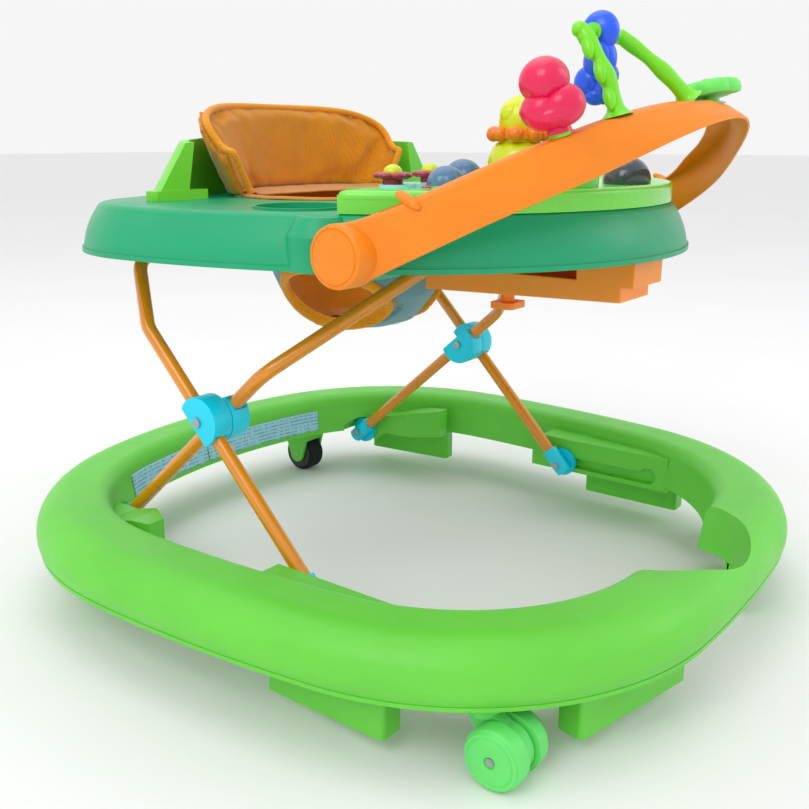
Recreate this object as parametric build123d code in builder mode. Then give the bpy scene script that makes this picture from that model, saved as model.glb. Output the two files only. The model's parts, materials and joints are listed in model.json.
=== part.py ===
from build123d import *
import os
from math import acos, atan2, cos, degrees, hypot, radians, sin

# Folding baby walker: an oval floor ring on casters, a scissor frame of two U tubes, and a
# seat tray with a toy arch.  Millimetres, +Z up, -Y is the front (toys), +Y the seat back.
# The origin is on the floor, below the centre of the floor ring.

os.makedirs("parts", exist_ok=True)

SIDES = {"left": 1, "right": -1}            # the child's left is +X

# ---------------------------------------------------------------- driving dimensions
# floor ring
RING_HALF_WIDTH = 343.0
RING_FRONT = 427.0                           # reach of the outline in front of its widest line
RING_REAR = 294.0                            # and behind it
RING_MID_Y = (RING_FRONT - RING_REAR) / 2
RING_RIM_Z = 57.0
RING_CREST_Z = 105.0
RING_WALL = 2.5

# tray
TRAY_HALF_WIDTH = 283.0
TRAY_FRONT = 364.5
TRAY_REAR = 150.0
TRAY_MID_Y = 100.8
TRAY_RIM_Z = 346.0
TRAY_TOP_Z = 388.0
TRAY_WALL = 2.5

# scissor frame, seen from the side: (y, z) of each pivot
BASE_PIVOT = (229.0, 55.0)                   # foot of the inner frame, fixed to the ring
SLIDER_PIN = (-62.0, 62.0)                   # foot of the outer frame, runs in the slot
CROSSING = (67.0, 198.0)
TRAY_PIVOT = (180.0, 334.0)                  # cross bar of the outer frame, under the seat back
RAIL_BAR = (-78.0, 334.0)                    # cross bar of the inner frame, in the height rail
SLIDER_TRAVEL = 107.0
RAIL_TRAVEL = 109.0
TUBE_OD = 13.0
TUBE_ID = 10.6
OUTER_PLANE_X = 221.0
INNER_PLANE_X = 199.0

# wheels
WHEEL_R = 23.5
CASTER_STEM = (255.0, -252.0)
CASTER_LEAD = 19.0                           # the wheels stand this far in front of the stem
REAR_WHEEL = (157.0, 296.0)

# seat
SEAT_Y = 72.0
SEAT_HALF_WIDTH = 122.0
SEAT_HALF_LENGTH = 100.0

# toy arch
HUB = (-122.0, 361.0)                        # (y, z) of the arch's pivot
HUB_R = 23.5
ARCH_HALF_WIDTH = 245.0
ARCH_REACH = 192.0
ARCH_START_Y = -100.0
ARCH_WALL = 3.0

RUN = 0.05                                   # radial running clearance of pins in bores
GAP = 0.4                                    # clearance between faces that move past each other


def save(builder, name):
    builder.part.label = name
    export_step(builder.part, f"parts/{name}.step")


def side_plane(x, point, heading):
    """Plane seen from the side at x, its x axis raised by heading degrees from +Y."""
    turn = radians(heading)
    return Plane(origin=(x, *point), x_dir=(0, cos(turn), sin(turn)), z_dir=(1, 0, 0))


# ---------------------------------------------------------------- ovals of tangent arcs
def quarter_oval(width, reach, end_radius, corner_radius, side_radius):
    """Arcs (u, v, radius, from, to) of a quarter oval; angles from the reach axis, degrees."""
    end = (0.0, reach - end_radius)
    side = (width - side_radius, 0.0)
    span = hypot(side[0] - end[0], side[1] - end[1])
    to_end = end_radius - corner_radius
    to_side = side_radius - corner_radius
    along = (to_end**2 - to_side**2 + span**2) / (2 * span)
    turn = acos(along / to_end)
    heading = atan2(side[1] - end[1], side[0] - end[0]) - turn
    corner = (end[0] + to_end * cos(heading), end[1] + to_end * sin(heading))
    first = degrees(atan2(corner[0] - end[0], corner[1] - end[1]))
    second = degrees(atan2(corner[0] - side[0], corner[1] - side[1]))
    return [
        (*end, end_radius, 0.0, first),
        (*corner, corner_radius, first, second),
        (*side, side_radius, second, 90.0),
    ]


def two_arc_quarter(width, reach, side_radius):
    """Quarter oval of one side arc and one end arc, tangent to each other."""
    end_radius = ((width - side_radius) ** 2 + reach**2 - side_radius**2)
    end_radius /= 2 * (reach - side_radius)
    turn = degrees(atan2(abs(width - side_radius), abs(reach - end_radius)))
    return [
        (0.0, reach - end_radius, end_radius, 0.0, turn),
        (width - side_radius, 0.0, side_radius, turn, 90.0),
    ]


def full_oval(front, rear, mid_y):
    """Counter-clockwise arcs (x, y, radius, start, sweep) of a whole oval."""
    right_half = []
    for u, v, radius, start, stop in front:
        right_half.append((u, mid_y - v, radius, start - 90, stop - start))
    for u, v, radius, start, stop in reversed(rear):
        right_half.append((u, mid_y + v, radius, 90 - stop, stop - start))
    left_half = []
    for x, y, radius, start, sweep in reversed(right_half):
        left_half.append((-x, y, radius, 180 - start - sweep, sweep))
    return right_half + left_half


RING_ARCS = full_oval(
    quarter_oval(RING_HALF_WIDTH, RING_FRONT, 1313.0, 250.0, 1390.0),
    quarter_oval(RING_HALF_WIDTH, RING_REAR, 571.0, 262.0, 635.0),
    RING_MID_Y,
)
TRAY_ARCS = full_oval(
    two_arc_quarter(TRAY_HALF_WIDTH, TRAY_FRONT, 522.6),
    two_arc_quarter(TRAY_HALF_WIDTH, TRAY_REAR, 130.0),
    TRAY_MID_Y,
)


def draw_oval(arcs, inset):
    """Closed outline, inset from the oval, in the current line builder."""
    for x, y, radius, start, sweep in arcs:
        CenterArc((x, y), radius - inset, start, sweep)


def swept_oval(arcs, draw_section):
    """A section carried round an oval; draw_section(radius) draws it in (radius, z)."""
    with BuildPart() as loop:
        for x, y, radius, start, sweep in arcs:
            heading = radians(start)
            plane = Plane(
                origin=(x, y, 0),
                x_dir=(cos(heading), sin(heading), 0),
                z_dir=(sin(heading), -cos(heading), 0),
            )
            with BuildSketch(plane):
                with BuildLine():
                    draw_section(radius)
                make_face()
            revolve(axis=Axis((x, y, 0), (0, 0, 1)), revolution_arc=sweep)
    return loop.part


# ---------------------------------------------------------------- floor ring
RING_WIDTH = 77.0
CREST_OUTER_R = 33.0
CREST_INNER_R = 14.0
CREST_OUTER_Z = RING_CREST_Z - CREST_OUTER_R
CREST_INNER_Z = RING_CREST_Z - CREST_INNER_R
CREST_FLAT = 25.0


def ring_section(inset, floor_z):
    """Crest section of the ring, inset by a wall, reaching down to floor_z."""

    def draw(radius):
        outer_foot = radius - 6 - inset
        inner_foot = radius - RING_WIDTH + inset
        crest = radius - CREST_OUTER_R
        CenterArc((crest, CREST_OUTER_Z), CREST_OUTER_R - inset, 0, 90)
        Line((crest, RING_CREST_Z - inset), (crest - CREST_FLAT, RING_CREST_Z - inset))
        CenterArc((crest - CREST_FLAT, CREST_INNER_Z), CREST_INNER_R - inset, 90, 90)
        inner_side = (crest - CREST_FLAT - CREST_INNER_R + inset, CREST_INNER_Z)
        Line(inner_side, (inner_foot, RING_RIM_Z))
        Line((inner_foot, floor_z), (outer_foot, floor_z))
        if floor_z < RING_RIM_Z:
            Line((inner_foot, RING_RIM_Z), (inner_foot, floor_z))
            Line((outer_foot, floor_z), (outer_foot, RING_RIM_Z))
        TangentArc((radius - inset, CREST_OUTER_Z), (outer_foot, RING_RIM_Z), tangent=(0, -1))

    return draw


def lip_section(radius):
    """Bead along the outer foot of the ring."""
    Polyline(
        (radius - 6, RING_RIM_Z),
        (radius - 2.6, RING_RIM_Z),
        (radius - 2.6, RING_RIM_Z + 3.5),
        (radius - 6, RING_RIM_Z + 3.5),
        close=True,
    )


FOOT_POCKET_X = 180.0
FOOT_POCKET_R = 18.5
BOSS_FACE_X = 210.0
PIN_R = 3.0

SCOOP_AT = (0.0, -258.0)                     # centre of the scoop in the ring's front inner side
SCOOP_R = 94.0


def scooped(oval, floor_z, radius):
    """The oval body with a round scoop cut out of its front inner side."""
    with BuildPart() as body:
        add(swept_oval(RING_ARCS, ring_section(oval, floor_z)))
        with BuildSketch(Plane.XY):
            with Locations(SCOOP_AT):
                Circle(radius)
        extrude(amount=RING_CREST_Z + 5, mode=Mode.SUBTRACT)
    return body.part


ring_solid = scooped(0.0, RING_RIM_Z, SCOOP_R)
ring_cavity = scooped(RING_WALL, 5.0, SCOOP_R + RING_WALL)

with BuildPart() as pocket_walls:
    for side in SIDES.values():
        with BuildSketch(Plane.YZ.offset(side * (FOOT_POCKET_X - RING_WALL))):
            with Locations(BASE_PIVOT):
                Circle(FOOT_POCKET_R + RING_WALL)
        extrude(amount=side * (BOSS_FACE_X + 6 - FOOT_POCKET_X))
    add(ring_solid, mode=Mode.INTERSECT)

with BuildPart() as base_ring:
    add(ring_solid)
    add(swept_oval(RING_ARCS, lip_section))
    add(ring_cavity, mode=Mode.SUBTRACT)
    add(pocket_walls.part)
    # pockets for the feet of the inner frame, and their pin holes
    for side in SIDES.values():
        with BuildSketch(Plane.YZ.offset(side * FOOT_POCKET_X)):
            with Locations(BASE_PIVOT):
                Circle(FOOT_POCKET_R)
        extrude(amount=side * (BOSS_FACE_X - FOOT_POCKET_X), mode=Mode.SUBTRACT)
        with BuildSketch(Plane.YZ.offset(side * BOSS_FACE_X)):
            with Locations(BASE_PIVOT):
                Circle(PIN_R)
        extrude(amount=side * 14, mode=Mode.SUBTRACT)
save(base_ring, "base_ring")

# slot rails: the slider feet of the outer frame run in them
RAIL_FACE_X = 234.0
SLOT_DEPTH = 7.5
SLOT_HALF_HEIGHT = 6.6
SLOT_Z = SLIDER_PIN[1]
SLOT_BACK_Y = SLIDER_PIN[0] + 9
SLOT_FRONT_Y = SLIDER_PIN[0] - SLIDER_TRAVEL
for name, side in SIDES.items():
    with BuildPart() as slot_rail:
        with BuildSketch(Plane.YZ.offset(side * RAIL_FACE_X)):
            with BuildLine():
                Polyline((-18, 50), (-192, 50), (-192, 90), (-30, 90), (-18, 76), close=True)
            make_face()
        extrude(amount=side * 37)
        add(ring_solid, mode=Mode.SUBTRACT)
        with BuildSketch(Plane.YZ.offset(side * RAIL_FACE_X)):
            with Locations(((SLOT_BACK_Y + SLOT_FRONT_Y) / 2, SLOT_Z)):
                SlotCenterToCenter(SLOT_BACK_Y - SLOT_FRONT_Y, 2 * SLOT_HALF_HEIGHT)
            with Locations((SLOT_FRONT_Y, SLOT_Z + 3)):
                Circle(9.5)
        extrude(amount=side * SLOT_DEPTH, mode=Mode.SUBTRACT)
    save(slot_rail, f"slot_rail_{name}")

# pivot bosses of the inner frame's feet
for name, side in SIDES.items():
    with BuildPart() as pivot_boss:
        with BuildSketch(Plane.XY.offset(42)):
            with BuildLine():
                Polyline(
                    (side * BOSS_FACE_X, 243),
                    (side * BOSS_FACE_X, 160),
                    (side * 232, 122),
                    (side * 250, 122),
                    (side * 250, 243),
                    close=True,
                )
            make_face()
        extrude(amount=52)
        # side view: low at the pin, rising to the front
        with BuildSketch(Plane.YZ.offset(side * BOSS_FACE_X)):
            with BuildLine():
                Polyline(
                    (243, 44), (243, 79), (190, 80), (150, 90), (122, 93), (122, 57), (200, 55),
                    (212, 44), close=True,
                )
            make_face()
        extrude(amount=side * 40, mode=Mode.INTERSECT)
        add(ring_solid, mode=Mode.SUBTRACT)
        with BuildSketch(Plane.YZ.offset(side * BOSS_FACE_X)):
            with Locations(BASE_PIVOT):
                Circle(PIN_R)
        extrude(amount=side * 14, mode=Mode.SUBTRACT)
    save(pivot_boss, f"pivot_boss_{name}")

with BuildPart() as rear_foot_pins:
    for side in SIDES.values():
        with BuildSketch(Plane.YZ.offset(side * (BOSS_FACE_X + 14))):
            with Locations(BASE_PIVOT):
                Circle(PIN_R)
        extrude(amount=-side * 35.5)
        with BuildSketch(Plane.YZ.offset(side * (BOSS_FACE_X - 21.5))):
            with Locations(BASE_PIVOT):
                Circle(PIN_R + 1.6)
        extrude(amount=-side * 1.6)
save(rear_foot_pins, "rear_foot_pins")


# stop blocks hang from inside the ring, just clear of the floor
STOP_Z = 16.0


def stop_block(start, end, width):
    """Open-topped block between two plan points; width is measured to the left of the line."""
    length = hypot(end[0] - start[0], end[1] - start[1])
    heading = degrees(atan2(end[1] - start[1], end[0] - start[0]))
    plane = Plane(
        origin=(*start, STOP_Z),
        x_dir=(cos(radians(heading)), sin(radians(heading)), 0),
        z_dir=(0, 0, 1),
    )
    with BuildPart() as block:
        with BuildSketch(plane):
            with Locations((length / 2, width / 2)):
                RectangleRounded(length, width, 4)
        extrude(amount=RING_CREST_Z - STOP_Z)
        with BuildSketch(plane.offset(RING_WALL)):
            with Locations((length / 2, width / 2)):
                RectangleRounded(length - 2 * RING_WALL, width - 2 * RING_WALL, 2)
        extrude(amount=RING_CREST_Z - STOP_Z, mode=Mode.SUBTRACT)
        add(ring_cavity, mode=Mode.INTERSECT)
    return block.part


STOP_BLOCKS = {
    "side_stop_blocks": ((295.5, -191.0), (295.5, -74.0), 24.0),
    "front_stop_blocks": ((79.0, -336.0), (207.0, -306.0), 24.0),
    "rear_stop_blocks": ((286.0, 135.0), (272.0, 253.0), 20.0),
}
for name, (start, end, width) in STOP_BLOCKS.items():
    one_side = stop_block(start, end, width)
    with BuildPart() as stop_blocks:
        add(one_side)
        add(one_side.mirror(Plane.YZ))
    save(stop_blocks, name)

# ---------------------------------------------------------------- front casters
STEM_R = 5.0
SOCKET_FACE_Z = 52.0
CASTER_Y = CASTER_STEM[1] - CASTER_LEAD
FORK_HALF = 5.5
CASTER_WHEEL_GAP = 2.0
CASTER_WHEEL_WIDTH = 15.0
AXLE_R = 2.5

with BuildPart() as caster_sockets:
    for side in SIDES.values():
        spot = (side * CASTER_STEM[0], CASTER_STEM[1])
        with BuildSketch(Plane.XY.offset(SOCKET_FACE_Z)):
            with Locations(spot):
                Circle(15)
        extrude(amount=60)
    add(ring_cavity, mode=Mode.INTERSECT)
    for side in SIDES.values():
        spot = (side * CASTER_STEM[0], CASTER_STEM[1])
        with BuildSketch(Plane.XY.offset(SOCKET_FACE_Z)):
            with Locations(spot):
                Circle(STEM_R + RUN)
        extrude(amount=36, mode=Mode.SUBTRACT)
save(caster_sockets, "caster_sockets")

for name, side in SIDES.items():
    stem_x = side * CASTER_STEM[0]
    with BuildPart() as caster_body:
        with BuildSketch(Plane.YZ.offset(stem_x - FORK_HALF)):
            with Locations((CASTER_Y, WHEEL_R)):
                Circle(WHEEL_R - 4)
            with BuildLine():
                Polyline(
                    (CASTER_Y - 4, WHEEL_R + 18),
                    (CASTER_STEM[1] - 8, SOCKET_FACE_Z - 2),
                    (CASTER_STEM[1] + 12, SOCKET_FACE_Z - 2),
                    (CASTER_STEM[1] + 12, SOCKET_FACE_Z - 8),
                    (CASTER_Y + 18, WHEEL_R),
                    (CASTER_Y, WHEEL_R),
                    close=True,
                )
            make_face()
        extrude(amount=2 * FORK_HALF)
        with BuildSketch(Plane.XY.offset(SOCKET_FACE_Z - 6)):
            with Locations((stem_x, CASTER_STEM[1])):
                Circle(12)
        extrude(amount=5.6)
        with BuildSketch(Plane.XY.offset(SOCKET_FACE_Z - 2)):
            with Locations((stem_x, CASTER_STEM[1])):
                Circle(STEM_R)
        extrude(amount=36)
        with Locations(Location((stem_x, CASTER_Y, WHEEL_R), (0, 90, 0))):
            Hole(AXLE_R, depth=30)
    save(caster_body, f"caster_body_{name}")

    with BuildPart() as caster_axle:
        with Locations(Location((stem_x, CASTER_Y, WHEEL_R), (0, 90, 0))):
            Cylinder(AXLE_R, 2 * (FORK_HALF + CASTER_WHEEL_GAP + CASTER_WHEEL_WIDTH) - 5)
    save(caster_axle, f"caster_axle_{name}")

    with BuildPart() as caster_wheels:
        for out in (-1, 1):
            inner_x = stem_x + out * (FORK_HALF + CASTER_WHEEL_GAP)
            with BuildSketch(Plane.YZ.offset(inner_x)):
                with Locations((CASTER_Y, WHEEL_R)):
                    Circle(WHEEL_R)
            extrude(amount=out * CASTER_WHEEL_WIDTH)
            rims = edges().filter_by(GeomType.CIRCLE).sort_by(Axis.X)
            rim = rims[-1] if out > 0 else rims[0]
            fillet(rim, 5)
            outer_x = inner_x + out * CASTER_WHEEL_WIDTH
            with BuildSketch(Plane.YZ.offset(outer_x)):
                with Locations((CASTER_Y, WHEEL_R)):
                    Circle(4.5)
            extrude(amount=-out * 3, mode=Mode.SUBTRACT)
            with BuildSketch(Plane.YZ.offset(inner_x)):
                with Locations((CASTER_Y, WHEEL_R)):
                    Circle(AXLE_R + RUN)
            extrude(amount=out * CASTER_WHEEL_WIDTH, mode=Mode.SUBTRACT)
    save(caster_wheels, f"caster_wheels_{name}")

# ---------------------------------------------------------------- rear wheels
REAR_HALF = 18.0
CHEEK = 4.0
REAR_TYRE_HALF = REAR_HALF - CHEEK - 0.8
TYRE_INNER_R = 19.0

for name, side in SIDES.items():
    wheel_x = side * REAR_WHEEL[0]
    axle_at = (REAR_WHEEL[1], WHEEL_R)
    with BuildPart() as rear_wheel_housing:
        with BuildSketch(Plane.YZ.offset(wheel_x - REAR_HALF)):
            with BuildLine():
                Polyline(
                    (axle_at[0] - 10, WHEEL_R - 3),
                    (axle_at[0] + 10, WHEEL_R - 3),
                    (axle_at[0] + 22, 60),
                    (axle_at[0] + 22, RING_CREST_Z),
                    (axle_at[0] - 22, RING_CREST_Z),
                    (axle_at[0] - 22, 60),
                    close=True,
                )
            make_face()
            with Locations(axle_at):
                Circle(10.5)
        extrude(amount=2 * REAR_HALF)
        with BuildSketch(Plane.YZ.offset(wheel_x - REAR_HALF + CHEEK)):
            with Locations(axle_at):
                Circle(WHEEL_R + 3)
        extrude(amount=2 * (REAR_HALF - CHEEK), mode=Mode.SUBTRACT)
        with BuildSketch(Plane.YZ.offset(wheel_x - REAR_HALF + CHEEK)):
            with Locations((axle_at[0], 84)):
                Rectangle(36, 42)
        extrude(amount=2 * (REAR_HALF - CHEEK), mode=Mode.SUBTRACT)
        with Locations(Location((wheel_x, *axle_at), (0, 90, 0))):
            Hole(AXLE_R, depth=60)
        add(ring_cavity, mode=Mode.INTERSECT)
    save(rear_wheel_housing, f"rear_wheel_housing_{name}")

    with BuildPart() as rear_wheel:
        with Locations(Location((wheel_x, *axle_at), (0, 90, 0))):
            Cylinder(TYRE_INNER_R, 2 * REAR_TYRE_HALF)
            Hole(AXLE_R + RUN, depth=40)
    save(rear_wheel, f"rear_wheel_{name}")

    with BuildPart() as rear_tyre:
        with Locations(Location((wheel_x, *axle_at), (0, 90, 0))):
            Cylinder(WHEEL_R, 2 * REAR_TYRE_HALF - 4)
            fillet(edges().filter_by(GeomType.CIRCLE), 2)
        with Locations(Location((wheel_x, *axle_at), (0, 90, 0))):
            Hole(TYRE_INNER_R, depth=40)
    save(rear_tyre, f"rear_tyre_{name}")

with BuildPart() as rear_axles:
    for side in SIDES.values():
        with Locations(Location((side * REAR_WHEEL[0], REAR_WHEEL[1], WHEEL_R), (0, 90, 0))):
            Cylinder(AXLE_R, 2 * REAR_HALF + 1)
save(rear_axles, "rear_axles")

# ---------------------------------------------------------------- scissor frame
RIVET_R = 2.5
INNER_BEND_PAST = 67.5                       # distance of each tube's bend past the crossing
OUTER_BEND_PAST = 105.5
BAR_HALF = 79.0                              # half width of the inner frame's cross bar
OUTER_BAR_HALF = 195.0
BEND_R = 38.0
FOOT_OVERHANG = 9.0                          # the tube runs this far past its foot pin


def beyond(point, away_from, distance):
    """The point moved away from another by a distance."""
    dy = point[0] - away_from[0]
    dz = point[1] - away_from[1]
    length = hypot(dy, dz)
    return (point[0] + dy / length * distance, point[1] + dz / length * distance)


def frame_tube(corners, corner_radii, crossing_x, crossing_hole, foot_x, foot_at):
    """Round tube through the corners, drilled for the crossing rivet and the foot pin."""
    with BuildPart() as tube:
        with BuildLine() as path:
            FilletPolyline(*corners, radius=corner_radii)
        start = path.wire() @ 0
        heading = path.wire() % 0
        with BuildSketch(Plane(origin=start, z_dir=heading)):
            Circle(TUBE_OD / 2)
        sweep(path=path.wire())
        with BuildSketch(Plane(origin=start, z_dir=heading)):
            Circle(TUBE_ID / 2)
        sweep(path=path.wire(), mode=Mode.SUBTRACT)
        for side in SIDES.values():
            with Locations(Location((side * crossing_x, *CROSSING), (0, 90, 0))):
                Cylinder(crossing_hole, 20, mode=Mode.SUBTRACT)
            with Locations(Location((side * foot_x, *foot_at), (0, 90, 0))):
                Cylinder(PIN_R + RUN, 20, mode=Mode.SUBTRACT)
    return tube


def mirrored(points):
    """The points, then their mirror images in reverse order."""
    return points + [(-x, y, z) for x, y, z in reversed(points)]


inner_foot = beyond(BASE_PIVOT, CROSSING, FOOT_OVERHANG)
inner_tube = frame_tube(
    mirrored([
        (INNER_PLANE_X, *inner_foot),
        (INNER_PLANE_X, *beyond(CROSSING, BASE_PIVOT, INNER_BEND_PAST)),
        (BAR_HALF, *RAIL_BAR),
    ]),
    BEND_R,
    INNER_PLANE_X,
    RIVET_R + RUN,
    INNER_PLANE_X,
    BASE_PIVOT,
)
save(inner_tube, "inner_frame_tube")

outer_foot = beyond(SLIDER_PIN, CROSSING, FOOT_OVERHANG)
outer_tube = frame_tube(
    mirrored([
        (OUTER_PLANE_X, *outer_foot),
        (OUTER_PLANE_X, *beyond(CROSSING, SLIDER_PIN, OUTER_BEND_PAST)),
        (OUTER_BAR_HALF, *TRAY_PIVOT),
    ]),
    25.0,
    OUTER_PLANE_X,
    RIVET_R,
    OUTER_PLANE_X,
    SLIDER_PIN,
)
save(outer_tube, "outer_frame_tube")

# half-disc clamps at the crossing, one round each tube
CLAMP_R = 23.0
CLAMP_MEET_X = (INNER_PLANE_X + OUTER_PLANE_X) / 2
CLAMP_HALF = 10.5
inner_heading = degrees(atan2(CROSSING[1] - BASE_PIVOT[1], CROSSING[0] - BASE_PIVOT[0]))
outer_heading = degrees(atan2(CROSSING[1] - SLIDER_PIN[1], CROSSING[0] - SLIDER_PIN[0]))


def crossing_clamp(plane_x, side, heading, hole_r):
    """Half disc bulging in front of the tube's line, with the tube's channel through it."""
    plane = side_plane(side * plane_x, CROSSING, heading)
    with BuildPart() as clamp:
        with BuildSketch(plane.offset(-CLAMP_HALF)):
            Circle(CLAMP_R)
            with Locations((0, -8.5 - CLAMP_R)):
                Rectangle(3 * CLAMP_R, 2 * CLAMP_R, mode=Mode.SUBTRACT)
        extrude(amount=2 * CLAMP_HALF)
        with Locations(plane * Location((0, 0, 0), (0, 90, 0))):
            Cylinder(TUBE_OD / 2, 4 * CLAMP_R, mode=Mode.SUBTRACT)
        with Locations(Location((side * plane_x, *CROSSING), (0, 90, 0))):
            Cylinder(hole_r, 3 * CLAMP_HALF, mode=Mode.SUBTRACT)
    return clamp


for name, side in SIDES.items():
    outer_clamp = crossing_clamp(OUTER_PLANE_X, side, outer_heading, RIVET_R)
    save(outer_clamp, f"outer_clamp_{name}")
    inner_clamp = crossing_clamp(INNER_PLANE_X, side, inner_heading, RIVET_R + RUN)
    save(inner_clamp, f"inner_clamp_{name}")

with BuildPart() as cross_rivets:
    for side in SIDES.values():
        with BuildSketch(Plane.YZ.offset(side * (INNER_PLANE_X - CLAMP_HALF - 0.5))):
            with Locations(CROSSING):
                Circle(RIVET_R)
        extrude(amount=side * (OUTER_PLANE_X - INNER_PLANE_X + 2 * CLAMP_HALF + 0.5))
        with BuildSketch(Plane.YZ.offset(side * (INNER_PLANE_X - CLAMP_HALF - 0.5))):
            with Locations(CROSSING):
                Circle(RIVET_R + 2)
        extrude(amount=-side * 1.8)
        with BuildSketch(Plane.YZ.offset(side * (OUTER_PLANE_X + CLAMP_HALF))):
            with Locations(CROSSING):
                Circle(RIVET_R + 2)
        extrude(amount=side * 1.8)
save(cross_rivets, "cross_rivets")

# feet: a sleeve over the tube's end and a round flange beside the ring
SLEEVE_R = 9.2
FLANGE_R = 16.5


def foot(side, plane_x, pivot, heading, flange_x, flange_width):
    """Sleeve round a tube's end, with a flange on the pin's axis."""
    plane = side_plane(side * plane_x, pivot, heading)
    with BuildPart() as sleeve:
        with Locations(plane * Location((4, 0, 0), (0, 90, 0))):
            Cylinder(SLEEVE_R, 32)
        with BuildSketch(Plane.YZ.offset(side * flange_x)):
            with Locations(pivot):
                Circle(FLANGE_R)
        extrude(amount=-side * flange_width)
        with Locations(plane * Location((20 - FOOT_OVERHANG, 0, 0), (0, 90, 0))):
            Cylinder(TUBE_OD / 2, 40, mode=Mode.SUBTRACT)
    return sleeve.part


for name, side in SIDES.items():
    with BuildPart() as rear_foot:
        add(foot(side, INNER_PLANE_X, BASE_PIVOT, inner_heading, BOSS_FACE_X - GAP, 5.0))
        with Locations(Location((side * INNER_PLANE_X, *BASE_PIVOT), (0, 90, 0))):
            Cylinder(PIN_R + RUN, 60, mode=Mode.SUBTRACT)
    save(rear_foot, f"rear_foot_{name}")

    with BuildPart() as slider_foot:
        add(foot(side, OUTER_PLANE_X, SLIDER_PIN, outer_heading, RAIL_FACE_X - GAP, 5.0))
        with BuildSketch(Plane.YZ.offset(side * (RAIL_FACE_X - GAP))):
            with Locations(SLIDER_PIN):
                Circle(SLOT_HALF_HEIGHT - 1.4)
        extrude(amount=side * (SLOT_DEPTH - 1))
        with Locations(Location((side * (OUTER_PLANE_X - 5), *SLIDER_PIN), (0, 90, 0))):
            Cylinder(PIN_R + RUN, 22, mode=Mode.SUBTRACT)
    save(slider_foot, f"slider_foot_{name}")

with BuildPart() as slider_screws:
    for side in SIDES.values():
        with BuildSketch(Plane.YZ.offset(side * (OUTER_PLANE_X + 6))):
            with Locations(SLIDER_PIN):
                Circle(PIN_R + RUN)
        extrude(amount=-side * 16)
        with BuildSketch(Plane.YZ.offset(side * (OUTER_PLANE_X - 9.5))):
            with Locations(SLIDER_PIN):
                Circle(PIN_R + 1.2)
        extrude(amount=-side * 1.4)
save(slider_screws, "slider_screws")

# ---------------------------------------------------------------- tray
PLATE_INSET = 58.0
CUP_AT = (190.0, -28.0)
CUP_R = 38.0
CUP_DEPTH = 14.0


def tray_section(radius):
    """Skirt of the tray: rim lip, rounded wall and shoulder, one wall thick."""
    top = TRAY_TOP_Z
    rim = TRAY_RIM_Z
    low = (radius - 1.5, rim + 4)
    shoulder = (radius - 14.5, top - 5)
    flat = (radius - 23, top)
    Polyline((radius - 4.2, rim), (radius, rim), (radius, rim + 4), low)
    ThreePointArc(low, (radius - 6.2, rim + 22), shoulder)
    ThreePointArc(shoulder, (radius - 17.6, top - 1.4), flat)
    inner_edge = (radius - PLATE_INSET - 2, top)
    Polyline(flat, inner_edge, (inner_edge[0], top - TRAY_WALL), (flat[0], top - TRAY_WALL))
    inner_shoulder = (radius - 16.8, top - 6.6)
    ThreePointArc((flat[0], top - TRAY_WALL), (radius - 19, top - 3.8), inner_shoulder)
    ThreePointArc(inner_shoulder, (radius - 8.8, rim + 21.5), (radius - 4.2, rim))


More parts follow.
